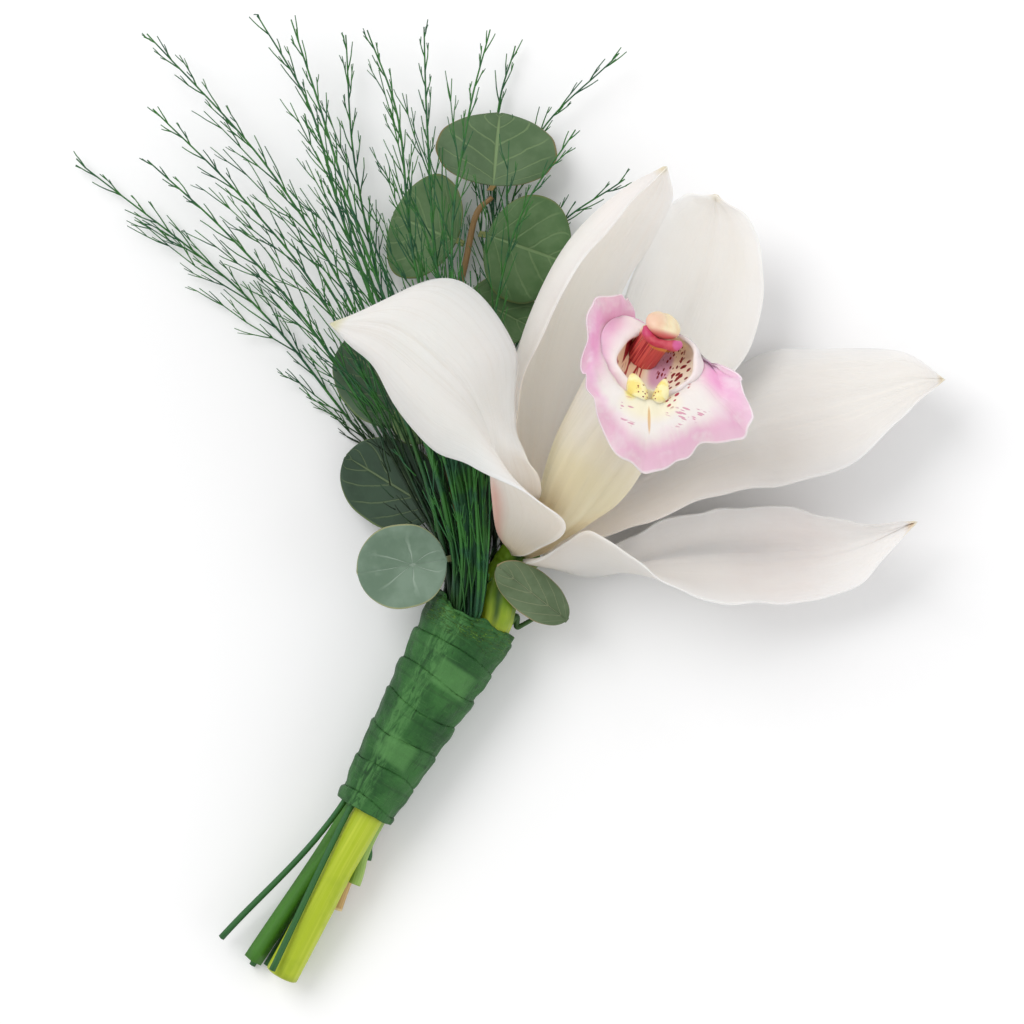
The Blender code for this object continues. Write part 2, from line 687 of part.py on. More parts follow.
def main():
    clear_scene()
    collection = new_collection("boutonniere")
    helpers = new_collection("helpers", hidden=True)
    petal = new_material("petal_white", (0.82, 0.77, 0.73), 0.5)
    lip = new_material("lip_pink", (0.84, 0.62, 0.66), 0.45)
    column = new_material("column_cream", (0.80, 0.62, 0.40), 0.4)
    leaf = new_material("eucalyptus_leaf", (0.11, 0.20, 0.12), 0.55)
    fern = new_material("fern_green", (0.03, 0.13, 0.05), 0.5)
    tape = new_material("floral_tape", (0.03, 0.12, 0.04), 0.7)
    stems = {
        "orchid_stem": new_material("orchid_stem", (0.25, 0.40, 0.04), 0.4),
        "twig": new_material("eucalyptus_twig", (0.45, 0.28, 0.10), 0.75),
        "light_stem": new_material("light_stem", (0.22, 0.38, 0.08), 0.5),
    }
    make_tape(tape, collection)
    make_stems(stems, collection)
    make_tepals(petal, collection)
    make_lip(lip, collection)
    make_column(column, column, collection)
    make_leaves(leaf, collection)
    make_fronds(fern, collection, helpers)
    seat_on_origin(collection, helpers)


if __name__ == "__main__":
    main()
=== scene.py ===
"""Boutonniere: a cymbidium flower, eucalyptus leaves and fern fronds bound with floral tape.

It lies on its back on a table. The stems point to -Y, the fronds to +Y and the flower opens upwards.
Lengths in the tables are millimetres; placed() turns them into places in the frame.
"""

import logging
import math
import random
from dataclasses import dataclass, field
from enum import Enum
from typing import Optional, Sequence, Union

import bpy
import numpy as np
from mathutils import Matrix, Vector


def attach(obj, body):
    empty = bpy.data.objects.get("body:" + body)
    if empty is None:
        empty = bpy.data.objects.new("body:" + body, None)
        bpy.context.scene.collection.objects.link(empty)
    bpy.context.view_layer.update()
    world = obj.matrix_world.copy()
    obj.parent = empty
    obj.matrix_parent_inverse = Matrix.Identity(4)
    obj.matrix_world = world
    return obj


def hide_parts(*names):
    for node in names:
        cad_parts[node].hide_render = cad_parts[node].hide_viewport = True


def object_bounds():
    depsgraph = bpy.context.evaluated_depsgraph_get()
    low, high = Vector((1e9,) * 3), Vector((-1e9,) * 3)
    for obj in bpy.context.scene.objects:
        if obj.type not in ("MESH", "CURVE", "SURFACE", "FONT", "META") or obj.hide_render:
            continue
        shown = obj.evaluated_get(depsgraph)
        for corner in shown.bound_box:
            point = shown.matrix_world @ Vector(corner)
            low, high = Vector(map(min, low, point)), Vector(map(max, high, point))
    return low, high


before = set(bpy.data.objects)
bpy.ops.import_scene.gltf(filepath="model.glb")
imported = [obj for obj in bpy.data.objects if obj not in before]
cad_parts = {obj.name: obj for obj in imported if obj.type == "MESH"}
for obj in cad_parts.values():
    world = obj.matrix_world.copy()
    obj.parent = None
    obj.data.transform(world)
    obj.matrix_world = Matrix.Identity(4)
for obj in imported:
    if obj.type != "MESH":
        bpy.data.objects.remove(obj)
cad_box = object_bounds()

LOG = logging.getLogger("boutonniere")

Point = tuple[float, float, float]
Colour = tuple[int, int, int]

MM = 0.001
SEAT = np.array((-0.049, -0.193, 0.100))
UP = np.array((0.0, 0.0, 1.0))
WELD = 1e-6
LOWEST = 0.25

# The flower's receptacle: its middle, the way the flower faces, and the way to its dorsal side.
RECEPTACLE = np.array((3.0, -8.0, 10.5))


def unit(vector: Sequence[float]) -> np.ndarray:
    """Returns the vector at length one."""
    array = np.array(vector, float)
    return array / np.linalg.norm(array)


FACING = unit((0.416, 0.577, 0.70))
DORSAL = unit((0.455, 0.536, -0.711))
RIGHT = np.cross(DORSAL, FACING)

# The sleeve of tape: the ends of its axis and the way across it.
TAPE_TOP = np.array((-5.1, -18.4, 7.9))
TAPE_BOTTOM = np.array((-22.5, -49.2, 6.6))
ACROSS = np.array((-0.871, 0.492, 0.0))


# ---------------------------------------------------------------- shapes


def placed(points: np.ndarray) -> np.ndarray:
    """Places in millimetres, as places in the frame.

    Args:
        points: Any array whose last axis holds X, Y and Z.

    Returns:
        The same places in metres, seated on the table.
    """
    return (np.asarray(points, float) + SEAT) * MM


def smooth_step(value: np.ndarray, low: float, high: float) -> np.ndarray:
    """Rises smoothly from 0 at low to 1 at high.

    Args:
        value: The numbers to judge.
        low: Where the rise starts.
        high: Where it ends.

    Returns:
        The eased numbers.
    """
    share = np.clip((value - low) / (high - low), 0.0, 1.0)
    return share * share * (3.0 - 2.0 * share)


def through(knots: np.ndarray, places: np.ndarray) -> np.ndarray:
    """Smooth curve through the knots.

    Args:
        knots: The points it passes through, along the first axis.
        places: Where to read it, 0 at the first knot and 1 at the last.

    Returns:
        The curve's value at each place, along the first axis.
    """
    last = len(knots) - 1
    index = np.minimum((places * last).astype(int), last - 1)
    step = (places * last - index).reshape(-1, *[1] * (knots.ndim - 1))
    before = np.concatenate([[2 * knots[0] - knots[1]], knots[:-1]])[index]
    after = np.concatenate([knots[1:], [2 * knots[-1] - knots[-2]]])[index + 1]
    start, end = knots[index], knots[index + 1]
    bend = (2 * before - 5 * start + 4 * end - after) * step**2
    twist = (3 * start - before - 3 * end + after) * step**3
    return (2 * start + (end - before) * step + bend + twist) / 2


def normals_of(table: np.ndarray) -> np.ndarray:
    """Returns the unit normal at each point of a table of rows and columns."""
    along, across = np.gradient(table, axis=0), np.gradient(table, axis=1)
    normal = np.cross(across, along)
    return normal / np.maximum(np.linalg.norm(normal, axis=2, keepdims=True), 1e-9)


def grid_places(columns: int, rows: int) -> tuple[np.ndarray, np.ndarray]:
    """Gives the across (-1 to 1) and along (0 to 1) place of each point of a table.

    Args:
        columns: Steps across.
        rows: Steps along.

    Returns:
        The two arrays, rows first.
    """
    along, across = np.meshgrid(np.linspace(0, 1, rows + 1), np.linspace(-1, 1, columns + 1), indexing="ij")
    return across, along


def ripples(across: np.ndarray, along: np.ndarray, waves: Sequence[Point], seed: int) -> np.ndarray:
    """Gentle unevenness, as a sum of waves.

    Args:
        across: Places across.
        along: Places along.
        waves: Each wave's turns across, turns along, and height.
        seed: Fixes where each wave starts.

    Returns:
        The height at each place.
    """
    chance = random.Random(seed)
    height = np.zeros_like(across)
    for turns_across, turns_along, size in waves:
        phase, drift = chance.uniform(0, math.tau), chance.uniform(0.7, 1.3)
        angle = turns_across * across * math.pi + turns_along * along * math.tau * drift + phase
        height += size * np.sin(angle)
    return height


class Piece:
    """A shown piece: its object, and what it stands for."""

    def __init__(self, obj: bpy.types.Object, slot: str) -> None:
        """Takes the object and its finish slot."""
        self.obj = obj
        self.slot = slot

    def activate(self) -> None:
        """Makes this piece the only selected one."""
        bpy.ops.object.select_all(action="DESELECT")
        self.obj.select_set(True)
        bpy.context.view_layer.objects.active = self.obj

    def weld(self, outward: bool = False) -> None:
        """Merges doubles at seams and poles.

        Args:
            outward: Whether the shell is closed, so that its faces are turned outwards.
        """
        self.activate()
        bpy.ops.object.mode_set(mode="EDIT")
        bpy.ops.mesh.select_all(action="SELECT")
        bpy.ops.mesh.remove_doubles(threshold=WELD)
        if outward:
            bpy.ops.mesh.normals_make_consistent(inside=False)
        bpy.ops.object.mode_set(mode="OBJECT")

    def thicken(
        self, thickness: float, offset: float = 0.0, edge: float = 1.0, swap: Optional[bool] = None
    ) -> None:
        """Gives the sheet its thickness, with its second face in the second material.

        Args:
            thickness: At the middle, in millimetres.
            offset: -1 for inwards, 0 for both ways.
            edge: The share of the thickness left where the weight "body" is 0.
            swap: Whether the two sides change places; the first is the upper one if this isn't given.
        """
        self.activate()
        while len(self.obj.data.materials) < 2:
            self.obj.data.materials.append(None)
        solid = self.obj.modifiers.new("thickness", "SOLIDIFY")
        solid.thickness = thickness * MM
        solid.offset = offset
        solid.material_offset = 1
        if "body" in self.obj.vertex_groups:
            solid.vertex_group = "body"
            solid.thickness_vertex_group = edge
        bpy.ops.object.modifier_apply(modifier=solid.name)
        faces = self.obj.data.polygons
        if swap is None:
            swap = sum(face.normal.z * face.area for face in faces if face.material_index == 0) < 0
        for face in faces:
            face.material_index = 1 - face.material_index if swap else face.material_index

    def dress(self, *materials: bpy.types.Material) -> None:
        """Gives the piece its materials, in the order of its faces."""
        mesh = self.obj.data
        places = [min(face.material_index, len(materials) - 1) for face in mesh.polygons]
        mesh.materials.clear()
        for material in materials:
            mesh.materials.append(material)
        for face, place in zip(mesh.polygons, places):
            face.material_index = place

    def finish(self, *nodes: str) -> None:
        """Smooths the piece, fixes it to the frame and lets it stand for the given CAD nodes."""
        self.activate()
        bpy.ops.object.shade_smooth()
        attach(self.obj, "root")
        if nodes:
            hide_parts(*nodes)
        faces = len(self.obj.data.polygons)
        LOG.info("%s: %d faces, finish %s", self.obj.name, faces, self.slot)


def sheet(name: str, table: np.ndarray, slot: str, weights: Optional[np.ndarray] = None) -> Piece:
    """A grid shaped point by point.

    Args:
        name: The piece's name.
        table: The place of each point in millimetres, rows first.
        slot: The piece's finish slot.
        weights: How much of the full thickness each point keeps, if it varies.

    Returns:
        The open sheet, not yet welded.
    """
    rows, columns = table.shape[0] - 1, table.shape[1] - 1
    bpy.ops.object.select_all(action="DESELECT")
    bpy.ops.mesh.primitive_grid_add(x_subdivisions=columns, y_subdivisions=rows, size=2.0)
    obj = bpy.context.object
    obj.name = obj.data.name = name
    flat = np.empty(len(obj.data.vertices) * 3, np.float32)
    obj.data.vertices.foreach_get("co", flat)
    flat = flat.reshape(-1, 3)
    column = np.rint((flat[:, 0] + 1) / 2 * columns).astype(int)
    row = np.rint((flat[:, 1] + 1) / 2 * rows).astype(int)
    obj.data.vertices.foreach_set("co", placed(table[row, column]).ravel())
    obj.data.update()
    if weights is not None:
        group = obj.vertex_groups.new(name="body")
        for index, weight in enumerate(weights[row, column]):
            group.add([index], float(weight), "REPLACE")
    return Piece(obj, slot)


def tube_table(path: np.ndarray, radii: np.ndarray, sides: int) -> np.ndarray:
    """A round tube with closed ends.

    Args:
        path: The points along its middle.
        radii: Its radius at each point, or at each point and side.
        sides: How many sides it has.

    Returns:
        The table of its surface, with a pole in the first and last rows.
    """
    ahead = np.gradient(path, axis=0)
    ahead /= np.linalg.norm(ahead, axis=1, keepdims=True)
    side = unit(np.cross(ahead[0], UP) + 1e-6)
    turn = np.linspace(-math.pi, math.pi, sides + 1)
    rings = []
    radii = np.asarray(radii, float)
    if radii.ndim == 1:
        radii = np.repeat(radii[:, None], sides + 1, axis=1)
    for point, way, reach in zip(path, ahead, radii):
        side = unit(side - way * (side @ way))
        other = np.cross(side, way)
        rings.append(point + (np.outer(np.sin(turn), side) - np.outer(np.cos(turn), other)) * reach[:, None])
    start = np.repeat(path[:1], sides + 1, axis=0)
    end = np.repeat(path[-1:], sides + 1, axis=0)
    return np.array([start, *rings, end])


def sleeve_place(across: float, height: float, along: float) -> np.ndarray:
    """A place inside the sleeve.

    Args:
        across: Millimetres to the left of its axis.
        height: Millimetres above its axis.
        along: 0 at its top and 1 at its bottom.

    Returns:
        The place in millimetres.
    """
    return TAPE_TOP + (TAPE_BOTTOM - TAPE_TOP) * along + ACROSS * across + UP * height


# ---------------------------------------------------------------- finishes


def paint(colour: Colour) -> tuple[float, float, float, float]:
    """Returns a colour of 0 to 255 steps as the linear colour that the shader mixes."""
    steps = [part / 255 for part in colour]
    linear = [part / 12.92 if part <= 0.04045 else ((part + 0.055) / 1.055) ** 2.4 for part in steps]
    return (*linear, 1.0)


Feed = Union["Wire", float]


class Wire:
    """A value on its way through a material's nodes, with the arithmetic of numbers."""

    def __init__(self, bench: "Bench", socket: bpy.types.NodeSocket) -> None:
        """Wraps an output socket of the bench's nodes."""
        self.bench = bench
        self.socket = socket

    def __add__(self, other: Feed) -> "Wire":
        """Returns self + other."""
        return self.bench.maths("ADD", self, other)

    def __sub__(self, other: Feed) -> "Wire":
        """Returns self - other."""
        return self.bench.maths("SUBTRACT", self, other)

    def __rsub__(self, other: Feed) -> "Wire":
        """Returns other - self."""
        return self.bench.maths("SUBTRACT", other, self)

    def __mul__(self, other: Feed) -> "Wire":
        """Returns self * other."""
        return self.bench.maths("MULTIPLY", self, other)

    def __truediv__(self, other: Feed) -> "Wire":
        """Returns self / other."""
        return self.bench.maths("DIVIDE", self, other)

    def __rtruediv__(self, other: Feed) -> "Wire":
        """Returns other / self."""
        return self.bench.maths("DIVIDE", other, self)

    __radd__ = __add__
    __rmul__ = __mul__


class Bench:
    """A material being mixed: its nodes, and the shader that they feed."""

    def __init__(self, name: str, roughness: float = 0.5, **constants: float) -> None:
        """Starts a material.

        Args:
            name: The material's name.
            roughness: Its roughness, unless a wire feeds it.
            **constants: Other shader sockets, with _ for a space.
        """
        self.material = bpy.data.materials.new(name)
        self.material.use_nodes = True
        self.tree = self.material.node_tree
        self.shader = self.tree.nodes["Principled BSDF"]
        self.shader.inputs["Roughness"].default_value = roughness
        for socket, value in constants.items():
            self.shader.inputs[socket.replace("_", " ")].default_value = value

    def node(self, kind: str, settings: dict, inputs: dict, out: Union[int, str] = 0) -> Wire:
        """Adds one node.

        Args:
            kind: The node's type.
            settings: Its properties, set first.
            inputs: Values or wires for its sockets.
            out: The output that the wire leaves from.

        Returns:
            The wire from that output.
        """
        made = self.tree.nodes.new(kind)
        for key, value in settings.items():
            setattr(made, key, value)
        for key, value in inputs.items():
            if isinstance(value, Wire):
                self.tree.links.new(value.socket, made.inputs[key])
            else:
                made.inputs[key].default_value = value
        return Wire(self, made.outputs[out])

    def maths(self, operation: str, first: Feed, second: Feed = 0.0) -> Wire:
        """Returns the wire of one sum on two values."""
        return self.node("ShaderNodeMath", {"operation": operation}, {0: first, 1: second})

    def most(self, first: Feed, second: Feed) -> Wire:
        """Returns the larger of two values."""
        return self.maths("MAXIMUM", first, second)

    def uv(self) -> tuple[Wire, Wire]:
        """Returns the place across and the place along the piece, 0 to 1."""
        place = self.node("ShaderNodeUVMap", {"uv_map": "UVMap"}, {})
        return self.part(place, 0), self.part(place, 1)

    def room(self) -> Wire:
        """Returns the place in the frame."""
        return self.node("ShaderNodeTexCoord", {}, {}, "Object")

    def part(self, vector: Wire, index: int) -> Wire:
        """Returns one part of a vector."""
        return self.node("ShaderNodeSeparateXYZ", {}, {0: vector}, index)

    def vector(self, x: Feed, y: Feed, z: Feed = 0.0) -> Wire:
        """Returns a vector joined from three values."""
        return self.node("ShaderNodeCombineXYZ", {}, {0: x, 1: y, 2: z})

    def band(self, value: Wire, low: float, high: float) -> Wire:
        """Returns 0 below low and 1 above high, eased between; it falls where low is the higher."""
        settings = {"interpolation_type": "SMOOTHSTEP"}
        if low < high:
            return self.node("ShaderNodeMapRange", settings, {0: value, 1: low, 2: high})
        return 1.0 - self.node("ShaderNodeMapRange", settings, {0: value, 1: high, 2: low})

    def noise(
        self, place: Wire, scale: float, detail: float = 3.0, rough: float = 0.5, warp: float = 0.0
    ) -> Wire:
        """Returns cloudy noise around 0.5 at the given scale."""
        inputs = {"Vector": place, "Scale": scale, "Detail": detail, "Roughness": rough, "Distortion": warp}
        return self.node("ShaderNodeTexNoise", {}, inputs)

    def cells(self, place: Wire, scale: float, jitter: float = 1.0) -> Wire:
        """Returns the distance to the nearest of many scattered points."""
        return self.node("ShaderNodeTexVoronoi", {}, {"Vector": place, "Scale": scale, "Randomness": jitter})

    def wave(self, value: Wire) -> Wire:
        """Returns the sine of a value."""
        return self.maths("SINE", value)

    def mix(self, share: Feed, first: Union[Wire, Colour], second: Union[Wire, Colour]) -> Wire:
        """Blends two colours.

        Args:
            share: 0 for the first and 1 for the second.
            first: A colour, or a wire that carries one.
            second: The other.

        Returns:
            The blended colour.
        """
        ends = [end if isinstance(end, Wire) else paint(end) for end in (first, second)]
        return self.node("ShaderNodeMix", {"data_type": "RGBA"}, {0: share, 6: ends[0], 7: ends[1]}, 2)

    def patch(
        self, middle: tuple[float, float], reach: tuple[float, float], turn: float, soft: float
    ) -> Wire:
        """An oval patch, as seen from the side that the flower opens to.

        Args:
            middle: Its middle in millimetres.
            reach: Its half length and half width in millimetres.
            turn: Degrees from X to its length.
            soft: How far its edge fades, as a share of its reach.

        Returns:
            1 inside and 0 outside.
        """
        place = self.room()
        x = self.part(place, 0) * (1 / MM) - (middle[0] + SEAT[0])
        y = self.part(place, 1) * (1 / MM) - (middle[1] + SEAT[1])
        cosine, sine = math.cos(math.radians(turn)), math.sin(math.radians(turn))
        length = (x * cosine + y * sine) / reach[0]
        width = (y * cosine - x * sine) / reach[1]
        return self.band(length * length + width * width, 1 + soft, 1 - soft)

    def turned(self, degrees: float) -> tuple[Wire, Wire]:
        """Returns the place in the frame along and across a way turned from +X, seen from above."""
        cosine, sine = math.cos(math.radians(degrees)), math.sin(math.radians(degrees))
        room = self.room()
        x, y = self.part(room, 0), self.part(room, 1)
        return x * cosine + y * sine, y * cosine - x * sine

    def dashes(self, degrees: float, long: float, short: float) -> Wire:
        """Draws short dashes.

        Args:
            degrees: The way that they point, from +X.
            long: Their spacing lengthwise, in millimetres.
            short: Their spacing sideways, in millimetres.

        Returns:
            1 on a dash and 0 between.
        """
        along, aside = self.turned(degrees)
        spots = self.cells(self.vector(along / (long * MM), aside / (short * MM)), 1.0, 0.85)
        return self.band(spots, 0.43, 0.33)

    def finish(
        self, colour: Wire, roughness: Optional[Wire] = None, height: Optional[Wire] = None,
        depth: float = 0.1
    ) -> bpy.types.Material:
        """Feeds the shader.

        Args:
            colour: The base colour.
            roughness: The roughness, if it varies.
            height: The relief, if there is any.
            depth: Millimetres of relief for a height of one.

        Returns:
            The material.
        """
        self.tree.links.new(colour.socket, self.shader.inputs["Base Color"])
        if roughness:
            self.tree.links.new(roughness.socket, self.shader.inputs["Roughness"])
        if height:
            bump = self.node(
                "ShaderNodeBump", {}, {"Height": height, "Distance": depth * MM, "Strength": 1.0}
            )
            self.tree.links.new(bump.socket, self.shader.inputs["Normal"])
        return self.material


# How thin petal flesh lets light through.
FLESH = {
    "Specular_IOR_Level": 0.3, "Subsurface_Weight": 0.8, "Subsurface_Radius": (1.0, 0.92, 0.85),
    "Subsurface_Scale": 0.004
}


@dataclass(frozen=True)
class TepalFinish:
    """Waxy petal flesh, with its tints towards the base, the tip and one edge, and painted light that
    brightens its inner part.
    """

    name: str
    body: Colour
    shade: Colour
    base: Colour
    tip: Colour
    blush: Colour
    base_reach: float = 0.3
    blush_from: float = 0.55
    blush_side: float = 0.0
    blush_share: float = 0.6
    tip_from: float = 0.955
    fold: Optional[Colour] = None
    # Painted light: a brighter colour for the inner part, against the shade that falls inside the flower.
    painted_glow: Optional[Colour] = None
    painted_glow_reach: float = 0.6

    def material(self) -> bpy.types.Material:
        """Returns the petal's material."""
        bench = Bench(self.name, **FLESH)
        u, v = bench.uv()
        room = bench.room()
        across = u * 2.0 - 1.0
        cloud = bench.noise(room, 70.0, 4.0)
        veins = bench.noise(bench.vector(u * 26.0, v * 1.6, 0.0), 1.0, 3.0, 0.6, 0.3)
        fibres = bench.noise(bench.vector(u * 90.0, v * 6.0, 3.0), 1.0, 2.0)
        colour = bench.mix(bench.band(cloud, 0.35, 0.65) * 0.7, self.body, self.shade)
        if self.blush_side:
            side = bench.band(across * self.blush_side, -0.2, 0.9)
        else:
            side = bench.band(cloud, 0.3, 0.7)
        blush = bench.band(v + (cloud - 0.5) * 0.25, self.blush_from, self.blush_from + 0.3) * side
        colour = bench.mix(blush * self.blush_share, colour, self.blush)
        # Painted light: the inner part, towards the base, is brightened against the shade inside the flower.
        if self.painted_glow is not None:
            inner = bench.band(v + (cloud - 0.5) * 0.1, self.painted_glow_reach, self.painted_glow_reach * 0.5)
            colour = bench.mix(inner, colour, self.painted_glow)
        colour = bench.mix(bench.band(veins, 0.5, 0.72) * 0.1, colour, self.base)
        colour = bench.mix(
            bench.band(v + (cloud - 0.5) * 0.1, self.base_reach, 0.02) * 0.85, colour, self.base
        )
        if self.fold is not None:
            folded = bench.band(bench.maths("ABSOLUTE", across), 0.44, 0.08) * bench.band(v, 0.42, 0.3)
            colour = bench.mix(folded * 0.8, colour, self.fold)
        rim = bench.band(across * across, 0.86, 1.0)
        colour = bench.mix(rim * 0.25, colour, (244, 243, 240))
        colour = bench.mix(bench.band(v, self.tip_from, 0.995) * 0.85, colour, self.tip)
        rough = 0.42 + cloud * 0.2
        skin = bench.noise(room, 1500.0, 2.0)
        height = veins * 0.9 + fibres * 0.35 + skin * 0.12
        return bench.finish(colour, rough, height, 0.14)


@dataclass(frozen=True)
class StemFinish:
    """Smooth green stem flesh with lengthwise streaks, a paler cut end and painted shade in its groove."""

    name: str
    body: Colour
    streak: Colour
    cut: Colour
    far: Colour
    far_from: float = 0.7
    cut_place: float = 0.01
    # Painted shade: the dark green laid in the groove along the stem's top.
    groove: Optional[Colour] = None

    def material(self) -> bpy.types.Material:
        """Returns the stem's material."""
        bench = Bench(self.name, Specular_IOR_Level=0.3, Coat_Weight=0.04, Coat_Roughness=0.3)
        u, v = bench.uv()
        room = bench.room()
        streaks = bench.noise(bench.vector(u * 22.0, v * 5.0), 1.0, 3.0, 0.6, 0.2)
        cloud = bench.noise(room, 160.0, 3.0)
        colour = bench.mix(bench.band(streaks, 0.4, 0.65), self.body, self.streak)
        colour = bench.mix(
            bench.band(v + (cloud - 0.5) * 0.2, self.far_from, self.far_from + 0.15) * 0.9, colour, self.far
        )
        colour = bench.mix(bench.band(cloud, 0.56, 0.75) * 0.25, colour, self.far)
        # Painted shade along the groove on the stem's top, towards its far end.
        if self.groove is not None:
            above = bench.band(bench.maths("ABSOLUTE", u - 0.5), 0.44, 0.5)
            colour = bench.mix(
                above * bench.band(v, self.far_from, self.far_from + 0.1) * 0.9, colour, self.groove
            )
        colour = bench.mix(bench.band(v, self.cut_place, self.cut_place * 0.7), colour, self.cut)
        rough = 0.34 + streaks * 0.25
        height = streaks * 0.7 + bench.noise(room, 900.0, 2.0) * 0.3
        return bench.finish(colour, rough, height, 0.12)


class Veins(Enum):
    """How a eucalyptus leaf's veins run."""

    FEATHERED = "feathered"
    RADIAL = "radial"


@dataclass(frozen=True)
class LeafFinish:
    """Waxy eucalyptus leaf: mottled green with a bloom, fine veins and a coloured rim."""

    name: str
    body: Colour
    bloom: Colour
    vein: Colour
    rim: Colour
    veins: Veins = Veins.FEATHERED
    stalk_place: float = 0.125

    def vein_lines(self, bench: Bench, u: Wire, blade: Wire, cloud: Wire) -> Wire:
        """Draws the veins.

        Args:
            bench: The material being mixed.
            u: The place across the leaf.
            blade: The place along its blade.
            cloud: Noise that bends the lines.

        Returns:
            1 on a vein and 0 between.
        """
        off_middle = bench.maths("ABSOLUTE", u - 0.5)
        if self.veins is Veins.RADIAL:
            angle = bench.maths("ARCTAN2", blade - 0.42, (u - 0.5) * 1.1)
            far = bench.maths("SQRT", (blade - 0.42) * (blade - 0.42) + off_middle * off_middle)
            spokes = bench.wave(angle * 8.0 + cloud * 3.0)
            centre = bench.band(far, 0.035, 0.01) * 0.7
            return bench.band(spokes, 0.9, 1.0) * bench.band(far, 0.46, 0.1) * 0.8 + centre
        ribs = bench.wave((blade * 6.0 - off_middle * 4.2 + cloud * 0.5) * math.tau)
        side = bench.band(ribs, 0.9, 1.0) * bench.band(off_middle, 0.5, 0.36) * 0.6
        middle = bench.band(off_middle, 0.022, 0.008) * bench.band(blade, 1.0, 0.7)
        return bench.most(side, middle)

    def material(self) -> bpy.types.Material:
        """Returns the leaf's material."""
        bench = Bench(self.name, Specular_IOR_Level=0.4, Sheen_Weight=0.12, Sheen_Roughness=0.4)
        u, v = bench.uv()
        room = bench.room()
        blade = (v - self.stalk_place) / (1 - self.stalk_place)
        cloud = bench.noise(room, 130.0, 4.0, 0.6)
        mottle = bench.noise(room, 520.0, 3.0, 0.6)
        lines = self.vein_lines(bench, u, blade, cloud)
        colour = bench.mix(bench.band(cloud, 0.35, 0.68), self.body, self.bloom)
        colour = bench.mix(bench.band(mottle, 0.52, 0.7) * 0.3, colour, self.bloom)
        colour = bench.mix(lines * 0.75, colour, self.vein)
        edge = bench.maths("ABSOLUTE", u * 2.0 - 1.0)
        rim = bench.most(
            bench.band(edge + (cloud - 0.5) * 0.03, 0.955, 0.995), bench.band(blade, 0.968, 0.995)
        )
        colour = bench.mix(rim * bench.band(blade, 0.0, 0.08) * 0.8, colour, self.rim)
        colour = bench.mix(bench.band(blade, 0.01, -0.02), colour, self.rim)
        rough = 0.5 + cloud * 0.22
        height = mottle * 0.5 - lines * 0.9
        return bench.finish(colour, rough, height, 0.1)


@dataclass(frozen=True)
class FernFinish:
    """Thin fern stem flesh: green with a bluish bloom in places, and painted shade on the low strands inside
    the bundle.
    """

    name: str
    body: Colour
    bloom: Colour
    low: Colour = (44, 96, 46)
    # Painted shade: the near-black green laid on the low strands in the middle of the bundle.
    deep: Colour = (16, 28, 8)
    scale: float = 260.0

    def material(self) -> bpy.types.Material:
        """Returns the fern's material."""
        bench = Bench(self.name, roughness=0.5, Specular_IOR_Level=0.35)
        room = bench.room()
        cloud = bench.noise(room, self.scale, 3.0, 0.6)
        fine = bench.noise(room, self.scale * 6.0, 2.0)
        colour = bench.mix(bench.band(cloud, 0.4, 0.62), self.body, self.bloom)
        colour = bench.mix(bench.band(bench.part(room, 1), -0.044, -0.052) * 0.9, colour, self.low)
        # Painted shade: strands low down in the middle of the bundle turn near black, where shade falls
        # between them.
        bundled = bench.band(bench.maths("ABSOLUTE", bench.part(room, 1) + 0.006), 0.024, 0.014)
        low_in_shade = bench.band(bench.part(room, 2) + (cloud - 0.5) * 0.006, 0.017, 0.009)
        colour = bench.mix(bundled * low_in_shade * 0.9, colour, self.deep)
        return bench.finish(colour, 0.4 + fine * 0.3, fine, 0.05)


